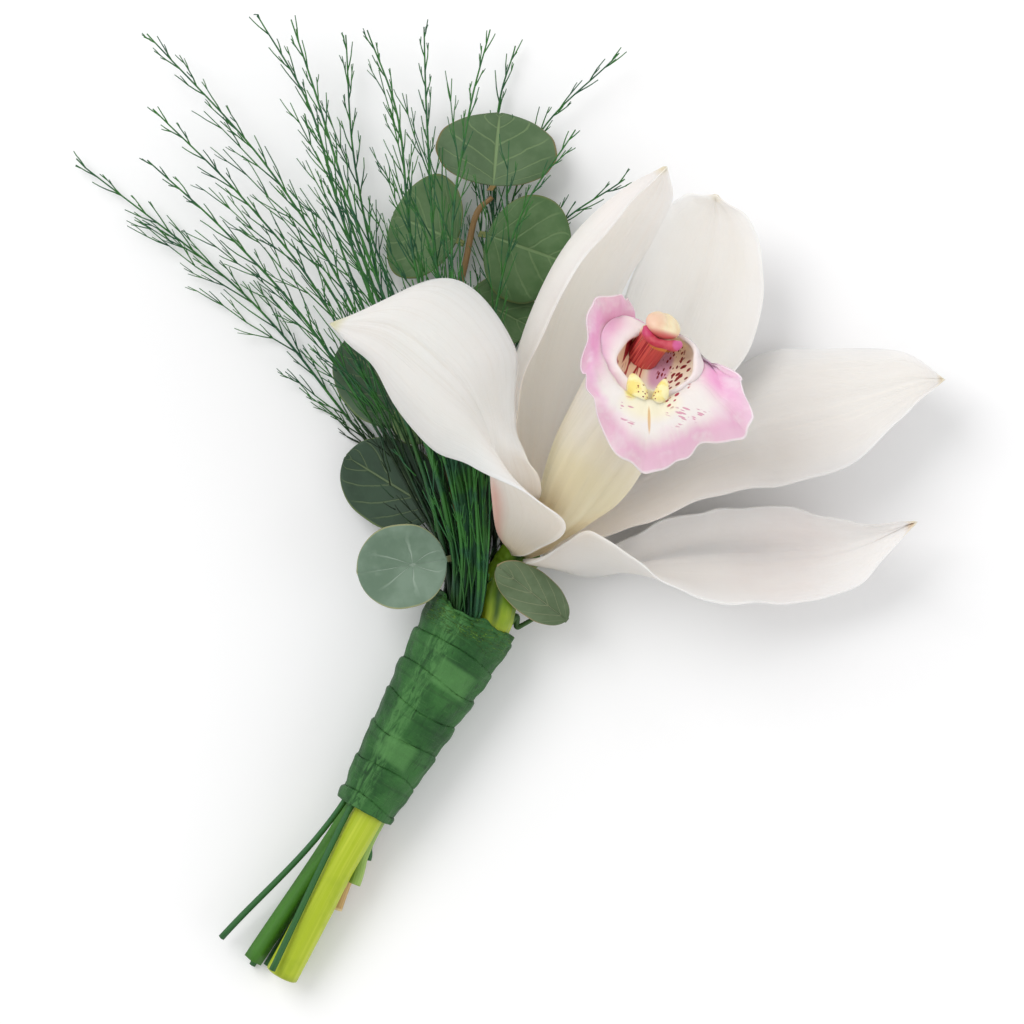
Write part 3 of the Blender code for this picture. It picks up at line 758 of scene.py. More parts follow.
@dataclass(frozen=True)
class TapeFinish:
    """Waxed crepe tape: a wrinkled green with paler, stretched places, and painted shade and highlights."""

    name: str = "tape_green"
    body: Colour = (28, 76, 30)
    # Painted shade: laid in the creases and along the edge of each turn.
    stretched: Colour = (50, 102, 46)
    dark: Colour = (14, 46, 18)
    grey: Colour = (74, 98, 76)
    # A paler green for the smooth places, also used for the painted highlight along the top.
    pale_and_highlight: Colour = (84, 136, 74)
    folded: Colour = (112, 158, 52)

    def window(
        self, bench: Bench, u: Wire, v: Wire, middle: tuple[float, float], half: tuple[float, float]
    ) -> Wire:
        """Returns 1 on a square place where the tape lies smooth, given by its middle and half sizes."""
        aside = bench.maths("ABSOLUTE", u - middle[0])
        along = bench.maths("ABSOLUTE", v - (u - middle[0]) * 0.12 - middle[1])
        return bench.band(aside, half[0], half[0] * 0.6) * bench.band(along, half[1], half[1] * 0.7)

    def material(self) -> bpy.types.Material:
        """Returns the tape's material."""
        bench = Bench(self.name, Specular_IOR_Level=0.3)
        u, v = bench.uv()
        room = bench.room()
        turns = bench.vector(u * 30.0, v * 9.0)
        crepe = bench.noise(bench.vector(u * 14.0, v * 150.0), 1.0, 4.0, 0.7, 0.6)
        creases = bench.noise(bench.vector(u * 46.0, v * 10.0, 2.0), 1.0, 4.0, 0.65, 1.2)
        cloud = bench.noise(room, 150.0, 4.0, 0.6)
        blotch = bench.noise(turns, 0.35, 3.0, 0.5)
        colour = bench.mix(bench.band(cloud, 0.35, 0.65), self.body, self.stretched)
        colour = bench.mix(bench.band(blotch, 0.5, 0.7) * 0.5, colour, self.stretched)
        # Painted shade in the grooves of the creases.
        colour = bench.mix(bench.band(creases, 0.45, 0.3) * 0.55, colour, self.dark)
        # Painted highlight on the ridges of the crepe.
        colour = bench.mix(bench.band(crepe, 0.55, 0.75) * 0.35, colour, (104, 150, 92))
        # Painted shade: a dark line along the step at the edge of each turn.
        edge = bench.band(bench.wave((v * 6.4 + u * -0.3) * math.tau), 0.93, 1.0)
        colour = bench.mix(edge * 0.25, colour, self.dark)
        sides = bench.most(bench.band(u, 0.34, 0.28), bench.band(u, 0.7, 0.76))
        colour = bench.mix(sides * bench.band(blotch, 0.62, 0.4) * 0.6, colour, self.grey)
        smooth = bench.most(
            self.window(bench, u, v, (0.55, 0.29), (0.1, 0.07)),
            self.window(bench, u, v, (0.5, 0.69), (0.09, 0.07))
        )
        colour = bench.mix(smooth * (0.35 + cloud * 0.5), colour, self.pale_and_highlight)
        # Painted highlight: a paler stripe along the top of the sleeve, on the ridges of the creases.
        stripe = bench.band(bench.maths("ABSOLUTE", u + (cloud - 0.5) * 0.03 - 0.44), 0.055, 0.035)
        colour = bench.mix(stripe * bench.band(creases, 0.4, 0.6) * 0.55, colour, self.pale_and_highlight)
        wisps = bench.noise(bench.vector(u * 9.0, v * 52.0, 5.0), 1.0, 3.0, 0.6, 1.6)
        lines = bench.band(bench.maths("ABSOLUTE", wisps - 0.5), 0.024, 0.006) * bench.band(v, 0.13, 0.08)
        colour = bench.mix(lines * 0.55, colour, self.folded)
        rough = 0.48 + crepe * 0.3
        height = crepe * 0.45 + creases * 0.9 + cloud * 0.3 + lines * 0.8
        return bench.finish(colour, rough, height, 0.28)


@dataclass(frozen=True)
class LipOutside:
    """The lip's back: cream yellow, paler towards its margin, with a trace of pink through the edge."""

    name: str = "lip_cream"

    def material(self) -> bpy.types.Material:
        """Returns the material of the lip's back."""
        bench = Bench(self.name, **FLESH)
        u, v = bench.uv()
        room = bench.room()
        cloud = bench.noise(room, 90.0, 3.0)
        veins = bench.noise(bench.vector(u * 40.0, v * 2.5), 1.0, 3.0, 0.6, 0.3)
        colour = bench.mix(bench.band(v + (cloud - 0.5) * 0.1, 0.46, 0.66), (238, 216, 174), (238, 226, 218))
        colour = bench.mix(bench.band(v + (cloud - 0.5) * 0.06, 0.84, 0.94) * 0.9, colour, (230, 164, 200))
        colour = bench.mix(bench.band(veins, 0.5, 0.72) * 0.15, colour, (206, 190, 158))
        height = veins * 0.8 + bench.noise(room, 1500.0, 2.0) * 0.15
        return bench.finish(colour, 0.45 + cloud * 0.15, height, 0.14)


@dataclass(frozen=True)
class LipInside:
    """The lip's face: a white floor with a pink margin, red freckles and a yellow callus."""

    name: str = "lip_pink"
    floor: Colour = (236, 225, 218)
    pink: Colour = (226, 144, 188)
    deep_pink: Colour = (212, 116, 168)
    pale: Colour = (236, 204, 220)
    yellow: Colour = (244, 214, 112)
    crimson: Colour = (150, 26, 52)
    magenta: Colour = (176, 52, 118)

    def material(self) -> bpy.types.Material:
        """Returns the material of the lip's face."""
        bench = Bench(self.name, **FLESH)
        u, v = bench.uv()
        room = bench.room()
        cloud = bench.noise(room, 260.0, 3.0)
        veins = bench.noise(bench.vector(u * 46.0, v * 2.2), 1.0, 3.0, 0.6, 0.3)
        edge = v + (cloud - 0.5) * 0.06 + (veins - 0.5) * 0.04
        folds = bench.noise(bench.vector(u * 16.0, v * 1.2, 4.0), 1.0, 2.0, 0.5, 0.3)
        colour = bench.mix(bench.band(v, 0.62, 0.5), self.floor, (236, 214, 168))
        colour = bench.mix(bench.band(edge, 0.82, 0.93), colour, self.pink)
        left, right = bench.band(u, 0.4, 0.22), bench.band(u, 0.7, 0.82)
        colour = bench.mix(left * bench.band(edge, 0.66, 0.82), colour, self.pink)
        colour = bench.mix(right * bench.band(edge, 0.62, 0.78), colour, self.pink)
        colour = bench.mix(bench.band(cloud, 0.5, 0.7) * bench.band(edge, 0.8, 0.9) * 0.4, colour, self.pale)
        colour = bench.mix(
            bench.band(folds, 0.54, 0.68) * bench.band(edge, 0.78, 0.9) * 0.7, colour, self.deep_pink
        )
        callus = bench.most(
            bench.patch((19.6, 17.6), (2.4, 1.3), 70.0, 0.5),
            bench.patch((23.6, 17.2), (2.4, 1.0), 105.0, 0.5)
        )
        glow = bench.patch((22.0, 14.6), (4.2, 2.6), 0.0, 0.8)
        colour = bench.mix(glow * 0.7, colour, (246, 230, 176))
        colour = bench.mix(callus, colour, self.yellow)
        # Painted shade: a brownish line in the groove below the callus's two ridges.
        crease_shade = bench.patch((21.7, 12.0), (0.22, 2.0), 0.0, 0.5)
        colour = bench.mix(crease_shade * 0.8, colour, (200, 146, 84))
        spotted = bench.patch((26.0, 17.0), (3.4, 1.9), 62.0, 0.25)
        colour = bench.mix(bench.dashes(38.0, 1.2, 0.5) * spotted, colour, self.crimson)
        scattered = bench.most(
            bench.patch((27.2, 12.6), (3.8, 1.6), 8.0, 0.3), bench.patch((18.6, 13.2), (1.3, 2.4), 0.0, 0.3)
        )
        scattered = scattered * bench.band(bench.noise(bench.room(), 330.0, 1.0), 0.5, 0.56)
        colour = bench.mix(bench.dashes(-20.0, 1.7, 0.4) * scattered * 0.7, colour, self.magenta)
        colour = bench.mix(bench.band(v, 0.985, 0.998) * 0.7, colour, (250, 232, 240))
        height = veins * 1.0 + cloud * 0.3 + bench.noise(room, 1600.0, 2.0) * 0.12
        return bench.finish(colour, 0.4 + cloud * 0.2, height, 0.16)


@dataclass(frozen=True)
class ThroatFinish:
    """The throat's inside: cream walls, red stripes at the left, dashes at the right, a purple flush."""

    name: str = "throat_striped"
    wall: Colour = (250, 240, 218)
    deep: Colour = (240, 222, 200)
    flange: Colour = (240, 226, 224)
    margin: Colour = (230, 176, 204)
    stripe: Colour = (158, 40, 44)
    dash: Colour = (134, 22, 34)
    purple: Colour = (204, 150, 186)

    def material(self) -> bpy.types.Material:
        """Returns the material of the throat's inside."""
        bench = Bench(self.name, **{**FLESH, "Subsurface_Scale": 0.0012})
        u, v = bench.uv()
        room = bench.room()
        cloud = bench.noise(room, 400.0, 3.0)
        colour = bench.mix(bench.band(v, 0.25, 0.7), self.deep, self.wall)
        flush = bench.patch((23.9, 20.4), (3.6, 1.5), 64.0, 0.5)
        colour = bench.mix(flush * 0.85, colour, self.purple)
        along, aside = bench.turned(72.0)
        lines = bench.noise(bench.vector(aside * 1500.0, along * 160.0), 1.0, 2.0, 0.5, 0.3)
        left = bench.patch((18.9, 20.8), (5.2, 2.6), 76.0, 0.3)
        colour = bench.mix(left * 0.5, colour, (240, 190, 140))
        colour = bench.mix(bench.band(lines, 0.5, 0.55) * left, colour, self.stripe)
        fine = bench.patch((25.4, 20.6), (3.8, 1.5), 60.0, 0.3)
        colour = bench.mix(bench.dashes(62.0, 0.9, 0.4) * fine, colour, self.dash)
        bold = bench.patch((26.6, 18.9), (3.4, 1.4), 62.0, 0.25)
        colour = bench.mix(bench.dashes(38.0, 1.3, 0.5) * bold, colour, self.dash)
        beak = bench.patch((24.1, 23.6), (2.0, 0.7), -12.0, 0.5)
        colour = bench.mix(beak, colour, (226, 160, 72))
        colour = bench.mix(bench.band(v, 0.67, 0.71), colour, self.flange)
        leftward = bench.patch((14.6, 22.6), (4.6, 8.0), 0.0, 0.6)
        colour = bench.mix(bench.band(v, 0.7, 0.96) * leftward * (0.45 + cloud * 0.7), colour, self.margin)
        pale = bench.patch((21.6, 15.4), (3.2, 2.4), 0.0, 0.5)
        colour = bench.mix(bench.band(v, 0.67, 0.71) * pale * 0.8, colour, (250, 238, 196))
        return bench.finish(colour, 0.38 + cloud * 0.2, lines * 0.5 + cloud * 0.4, 0.14)


@dataclass(frozen=True)
class CallusFinish:
    """A yellow ridge of the callus, with tiny red dots along its inner side."""

    name: str
    body: Colour = (248, 234, 176)
    deep: Colour = (238, 214, 126)
    floor: Colour = (242, 232, 222)
    dot: Colour = (140, 34, 40)

    def material(self) -> bpy.types.Material:
        """Returns the ridge's material."""
        bench = Bench(self.name, **FLESH)
        room = bench.room()
        cloud = bench.noise(room, 600.0, 3.0)
        colour = bench.mix(bench.band(cloud, 0.38, 0.62), self.body, self.deep)
        sinking = bench.band(bench.part(room, 1) + (cloud - 0.5) * 0.001, 0.0156, 0.0136)
        colour = bench.mix(sinking, colour, self.floor)
        inner = bench.patch((21.6, 16.6), (2.2, 1.7), 90.0, 0.15)
        dots = bench.cells(room, 1700.0, 0.7)
        colour = bench.mix(bench.band(dots, 0.3, 0.22) * inner, colour, self.dot)
        return bench.finish(colour, 0.35 + cloud * 0.2, cloud, 0.14)


@dataclass(frozen=True)
class ColumnFinish:
    """The column: cream, with a dark red striped face under the anther cap."""

    name: str = "column_red"

    def material(self) -> bpy.types.Material:
        """Returns the column's material."""
        bench = Bench(self.name, Specular_IOR_Level=0.45, Subsurface_Weight=0.08, Subsurface_Scale=0.001)
        u, v = bench.uv()
        room = bench.room()
        cloud = bench.noise(room, 300.0, 3.0)
        stripes = bench.noise(bench.vector(u * 44.0, v * 3.0), 1.0, 2.0, 0.5, 0.2)
        colour = bench.mix(bench.band(cloud, 0.35, 0.7), (238, 222, 186), (228, 206, 160))
        face = bench.patch((20.9, 21.6), (5.0, 3.4), 58.0, 0.2)
        red = bench.mix(bench.band(stripes, 0.42, 0.6), (200, 84, 78), (146, 26, 40))
        plain = bench.patch((22.6, 20.8), (1.6, 3.6), -35.0, 0.5)
        red = bench.mix(plain * 0.8, red, (196, 76, 70))
        colour = bench.mix(face, colour, red)
        colour = bench.mix(bench.patch((24.1, 23.6), (2.0, 0.8), -12.0, 0.5), colour, (220, 150, 62))
        colour = bench.mix(bench.band(stripes, 0.6, 0.72) * face * 0.7, colour, (240, 176, 140))
        return bench.finish(colour, 0.35 + cloud * 0.2, stripes * 0.6 + cloud * 0.3, 0.15)


@dataclass(frozen=True)
class CapFinish:
    """The anther cap: cream, with a soft pink blush, turning crimson towards its front."""

    name: str = "anther_cream"

    def material(self) -> bpy.types.Material:
        """Returns the cap's material."""
        bench = Bench(self.name, Specular_IOR_Level=0.5, Subsurface_Weight=0.1, Subsurface_Scale=0.001)
        room = bench.room()
        cloud = bench.noise(room, 500.0, 3.0)
        colour = bench.mix(bench.band(cloud, 0.35, 0.7), (238, 224, 190), (230, 208, 166))
        blush = bench.patch((22.6, 27.2), (2.0, 1.6), 30.0, 0.8)
        colour = bench.mix(blush * 0.6, colour, (228, 176, 156))
        front = bench.patch((24.3, 24.2), (3.8, 1.5), -16.0, 0.7)
        colour = bench.mix(front * 0.9, colour, (196, 74, 84))
        return bench.finish(colour, 0.3 + cloud * 0.2, cloud, 0.12)


@dataclass(frozen=True)
class RimFinish:
    """The crimson roll along the anther cap's front edge."""

    name: str = "anther_crimson"

    def material(self) -> bpy.types.Material:
        """Returns the roll's material."""
        bench = Bench(self.name, Specular_IOR_Level=0.5)
        room = bench.room()
        cloud = bench.noise(room, 700.0, 3.0)
        colour = bench.mix(bench.band(cloud, 0.4, 0.6), (186, 52, 74), (200, 84, 96))
        knob = bench.patch((26.6, 23.7), (1.0, 1.0), 0.0, 0.5)
        colour = bench.mix(knob * 0.8, colour, (208, 96, 156))
        colour = bench.mix(bench.patch((21.7, 26.2), (1.0, 1.2), 0.0, 0.5) * 0.7, colour, (196, 58, 110))
        return bench.finish(colour, 0.35 + cloud * 0.2, cloud, 0.1)


# ---------------------------------------------------------------- the flower

# Waves of the flower's sheets: turns across, turns along, and height in millimetres.
TEPAL_EDGE_WAVES = [(0.5, 3.0, 0.5), (0.3, 6.0, 0.4), (0.8, 10.0, 0.16)]
TEPAL_FACE_WAVES = [(1.5, 0.4, 0.13), (2.6, 0.8, 0.09), (4.2, 0.6, 0.05)]
LIP_FRILL_WAVES = [(4.0, 0.3, 0.6), (7.5, 0.5, 0.45), (12.0, 0.8, 0.3)]
LIP_VEIN_WAVES = [(9.0, 0.4, 0.06), (15.0, 0.6, 0.05)]
LIP_SCALLOP_WAVES = [(6.0, 0.0, 0.5), (10.5, 0.0, 0.35), (17.0, 0.0, 0.2)]


@dataclass
class Tepal:
    """A sepal or petal, lofted between its two edges over its midline."""

    name: str
    angle: float
    turn: float
    first: list[Point]
    middle: list[Point]
    last: list[Point]
    finish: TepalFinish
    back: TepalFinish
    seed: int = 1
    edge_wave: float = 0.5
    thickness: float = 0.8
    columns: int = 44
    rows: int = 120
    base_half_width: float = 1.35
    ring_radius: float = 3.0
    ring_height: float = 0.85
    midrib_depth: float = 0.22
    midrib_width: float = 0.07

    def table(self) -> np.ndarray:
        """Returns the petal's middle surface, with its waves and its midrib."""
        turn = math.radians(self.angle)
        base = RECEPTACLE + FACING * self.ring_height
        base = base + (DORSAL * math.cos(turn) + RIGHT * math.sin(turn)) * self.ring_radius
        half = (RIGHT * math.cos(turn) - DORSAL * math.sin(turn)) * self.base_half_width * self.turn
        places = np.linspace(0, 1, self.rows + 1)
        starts = (base - half, base, base + half)
        ribs = zip(starts, (self.first, self.middle, self.last))
        lines = [through(np.array([start, *line]), places) for start, line in ribs]
        across, along = grid_places(self.columns, self.rows)
        low, mid, high = (line[:, None, :] for line in lines)
        side = across[..., None]
        table = low * side * (side - 1) / 2 + mid * (1 - side * side) + high * side * (side + 1) / 2
        reach = smooth_step(along, 0.1, 0.35) * (1 - smooth_step(along, 0.88, 1.0))
        edge = np.abs(across) ** 3 * self.edge_wave * reach
        height = ripples(across, along, TEPAL_EDGE_WAVES, self.seed) * edge
        height += ripples(across, along, TEPAL_FACE_WAVES, self.seed + 7) * reach
        height -= self.midrib_depth * np.exp(-((across / self.midrib_width) ** 2)) * reach
        return table + normals_of(table) * height[..., None]

    def build(self) -> Piece:
        """Returns the petal as a thin closed shell."""
        across, along = grid_places(self.columns, self.rows)
        weights = 1 - smooth_step(np.abs(across), 0.55, 1.0) * smooth_step(along, 0.05, 0.2)
        piece = sheet(self.name, self.table(), "petal_white", weights)
        piece.weld()
        piece.thicken(self.thickness, edge=0.3)
        return piece

    def dress(self, piece: Piece) -> None:
        """Gives the petal its face and its back."""
        piece.dress(self.finish.material(), self.back.material())
        piece.finish(self.name)


WHITE_BACK = TepalFinish(
    "petal_back", (216, 213, 208), (211, 207, 202), (216, 200, 184), (216, 196, 160), (230, 220, 217)
)


def tepals() -> list[Tepal]:
    """Returns the flower's three sepals and two petals."""
    return [
        Tepal(
            "lateral_sepal_left", 220.0, 1.0,
            [
                (4.4, -8, 20.5), (9.3, -4.2, 32), (3.5, 0.5, 41), (-5, 5, 45), (-12, 8.5, 44),
                (-20, 19.5, 40), (-27, 27, 32)
            ],
            [
                (-1, -5, 18), (-1.5, 0.5, 30), (-2, 7, 38), (-4, 13.5, 43), (-8.5, 20, 46), (-17, 26.5, 43),
                (-27, 27, 32)
            ],
            [
                (2, -3, 16), (5.5, 1.5, 29), (3.5, 6, 36), (1, 13, 38), (1.5, 23, 40), (-8, 33.5, 40),
                (-27, 27, 32)
            ],
            TepalFinish(
                "sepal_left_white", (219, 217, 212), (215, 212, 206), (176, 150, 114), (200, 192, 140),
                (224, 216, 213), base_reach=0.5, fold=(192, 142, 126), painted_glow=(252, 249, 244)
            ),
            TepalFinish(
                "sepal_left_back", (224, 217, 208), (216, 208, 197), (190, 170, 140), (206, 200, 150),
                (220, 208, 203), base_reach=0.36, fold=(200, 148, 136)
            ),
            seed=3, edge_wave=0.6
        ),
        Tepal(
            "lateral_sepal_right", 140.0, -1.0,
            [
                (6, -9, 20), (13, -5, 28), (21, -10.5, 25), (31, -15.5, 20), (43, -16.5, 13),
                (55, -13.5, 11), (64.5, -3.5, 17)
            ],
            [
                (7.5, -10.6, 10), (14, -12, 4.5), (23, -10.5, 2), (33, -9.5, 1), (44, -9, 2), (55, -7.5, 7),
                (64.5, -3.5, 17)
            ],
            [
                (9.5, -10, 9), (16, -8, 9), (25.5, -3.5, 10), (34, -1.5, 10), (45, -1.5, 11),
                (56, -3.5, 12), (64.5, -3.5, 17)
            ],
            TepalFinish(
                "sepal_right_pink", (250, 245, 241), (246, 240, 236), (252, 240, 226), (186, 146, 100),
                (240, 227, 224), blush_from=0.55, blush_share=0.6, tip_from=0.97, painted_glow=(255, 251, 246),
                painted_glow_reach=0.7
            ),
            WHITE_BACK, seed=5, edge_wave=0.5
        ),
        Tepal(
            "petal_right", 70.0, -1.0,
            [
                (15, -6, 12), (22.5, -3.5, 14), (32, 0.5, 16), (43, 2, 17), (54, 5.5, 16), (63, 13.5, 14),
                (69, 19, 15)
            ],
            [
                (13.5, -2.5, 8), (22, 3, 6), (33, 9.5, 5.5), (44, 13, 7.5), (54.5, 15.5, 10),
                (63.5, 18, 12), (69, 19, 15)
            ],
            [
                (12.5, 0.5, 6.5), (21.5, 8, 3.5), (32, 17.5, 1.2), (41, 23.5, 3), (51, 24, 6),
                (62.5, 23.5, 10), (69, 19, 15)
            ],
            TepalFinish(
                "petal_right_white", (220, 216, 211), (216, 211, 206), (255, 240, 222), (196, 172, 136),
                (222, 218, 214), tip_from=0.97, painted_glow=(255, 251, 246)
            ),
            WHITE_BACK, seed=9
        ),
        Tepal(
            "dorsal_sepal", 0.0, 1.0,
            [
                (8.5, 4, 5), (13.5, 14, 5.5), (17.5, 26, 7.5), (20.5, 37, 11), (24.6, 44.5, 15),
                (28, 47.8, 17), (33, 47.8, 17)
            ],
            [
                (10, 1.5, 5), (17, 9.5, 5), (23, 18, 5), (28, 28, 5.5), (31.5, 38, 8.5), (33, 44.5, 13),
                (33, 47.8, 17)
            ],
            [
                (10.5, 0.5, 8), (19.5, 5.5, 8.5), (30, 13, 9.5), (37.5, 22.5, 10), (40.8, 35, 12.5),
                (38.4, 43.2, 16), (33, 47.8, 17)
            ],
            TepalFinish(
                "dorsal_cream", (249, 244, 235), (245, 239, 228), (246, 234, 216), (226, 214, 192),
                (246, 240, 233)
            ),
            WHITE_BACK, seed=12, edge_wave=0.7
        ),
        Tepal(
            "petal_left", 285.0, 1.0,
            [
                (0.5, -0.5, 14), (0.5, 8, 21), (2.5, 17.5, 28), (6.5, 27.5, 32), (12, 37.5, 32),
                (19, 45, 32), (25, 51.5, 29)
            ],
            [
                (2, 0, 10), (2, 8.5, 11), (2.5, 18.5, 13), (5.5, 30, 17), (11, 40.5, 21), (18, 47.5, 25.5),
                (25, 51.5, 29)
            ],
            [
                (5.5, 0.5, 8), (9, 9.5, 8), (13.5, 20.5, 9.5), (18.5, 33, 12.5), (23, 40.5, 17),
                (26, 47, 22.5), (25, 51.5, 29)
            ],
            TepalFinish(
                "petal_left_beige", (242, 236, 226), (249, 240, 228), (250, 216, 184), (228, 216, 190),
                (252, 244, 236), base_reach=0.42, painted_glow=(255, 246, 233), painted_glow_reach=0.8
            ),
            WHITE_BACK, seed=15, edge_wave=0.5
        )
    ]


# The lip's long lines, from the edge of one side lobe round under the middle lobe to the other edge.
LIP_LINES = [
    [(6.5, 0.5, 15), (10.5, 12, 18), (18.5, 24, 25), (20, 28.5, 29), (19, 32, 30)],
    [(5, 0, 19), (8.5, 10.5, 24), (15, 24, 31), (14.5, 28, 34), (13.5, 30, 36)],
    [(5, -0.5, 24), (8, 9, 29), (14.5, 20.5, 37), (13.5, 21.5, 42), (12, 20.5, 44)],
    [(6, -1, 27), (10, 7.5, 34), (17, 17, 42), (15, 16, 48), (13, 14.5, 49)],
    [(8.5, -2.5, 28), (13.5, 5.5, 36.5), (20.5, 15, 44), (20.5, 10.5, 50), (20, 4, 49)],
    [(11, -3.5, 26), (16.5, 3, 33.5), (24, 15, 42), (26, 11.5, 48), (27.5, 7, 47)],
    [(13, -3.5, 22), (19, 2, 29), (27.5, 17, 37), (32.5, 14.5, 43), (36.5, 10, 43)],
    [(13, -2.5, 18), (19.5, 3.5, 23), (29, 20, 31), (33, 18.5, 38), (36.5, 17.5, 41)],
    [(12, -1.5, 15), (18, 6, 18), (27.5, 22.5, 26), (29, 23, 30), (29.5, 22, 32)]
]


@dataclass
class Lip:
    """The lip: a claw that opens into a trough with two side lobes and a frilled middle lobe."""

    columns: int = 168
    rows: int = 120
    thickness: float = 0.6
    claw_half_width: float = 1.1
    claw_offset: float = 1.9
    ring_height: float = 0.85
    neck_height: float = 5.2
    neck_radius: float = 3.2
    neck_sweep: float = math.radians(85.0)
    frill: float = 0.95
    ridge: float = 0.5
    ridge_places: tuple[float, float] = (0.4, 0.6)
    ridge_width: float = 0.035

    def table(self) -> np.ndarray:
        """Returns the lip's middle surface, with its frill and the two ridges of its callus."""
        claw = RECEPTACLE + FACING * self.ring_height - DORSAL * self.claw_offset
        lines = []
        for index, line in enumerate(LIP_LINES):
            side = index / (len(LIP_LINES) - 1) * 2 - 1
            turn = side * self.neck_sweep
            round_neck = RIGHT * math.sin(turn) - DORSAL * math.cos(turn)
            neck = RECEPTACLE + FACING * self.neck_height + round_neck * self.neck_radius
            lines.append([claw + RIGHT * (side * self.claw_half_width), neck, *line])
        knots = through(np.array(lines).transpose(1, 0, 2), np.linspace(0, 1, self.rows + 1))
        table = through(knots.transpose(1, 0, 2), np.linspace(0, 1, self.columns + 1)).transpose(1, 0, 2)
        across, along = grid_places(self.columns, self.rows)
        edge = smooth_step(along, 0.78, 1.0)
        frill = ripples(across, along, LIP_FRILL_WAVES, 21) * edge * self.frill
        veins = ripples(across, along, LIP_VEIN_WAVES, 25) * smooth_step(along, 0.1, 0.3)
        place = (across + 1) / 2
        ridges = sum(np.exp(-(((place - middle) / self.ridge_width) ** 2)) for middle in self.ridge_places)
        ridges = ridges * smooth_step(along, 0.5, 0.62) * (1 - smooth_step(along, 0.68, 0.76)) * self.ridge
        table = table + normals_of(table) * (frill + veins + ridges)[..., None]
        scallops = ripples(across, along, LIP_SCALLOP_WAVES, 27)
        ahead = np.gradient(table, axis=0)
        ahead /= np.maximum(np.linalg.norm(ahead, axis=2, keepdims=True), 1e-9)
        return table + ahead * (scallops * smooth_step(along, 0.86, 1.0) * self.frill)[..., None]

    def build(self) -> Piece:
        """Returns the lip as a thin closed shell."""
        _, along = grid_places(self.columns, self.rows)
        weights = 1 - smooth_step(along, 0.7, 1.0)
        piece = sheet("lip", self.table(), "lip_pink", weights)
        piece.weld()
        piece.thicken(self.thickness, edge=0.3, swap=True)
        return piece

    def dress(self, piece: Piece) -> None:
        """Gives the lip its face and its back."""
        piece.dress(LipInside().material(), LipOutside().material())
        piece.finish("lip")


def evened(values: np.ndarray) -> np.ndarray:
    """Returns the values round a closed rim, each averaged with its two neighbours."""
    before, after = np.append(values[-2], values[:-1]), np.append(values[1:], values[1])
    return (before + 2 * values + after) / 4


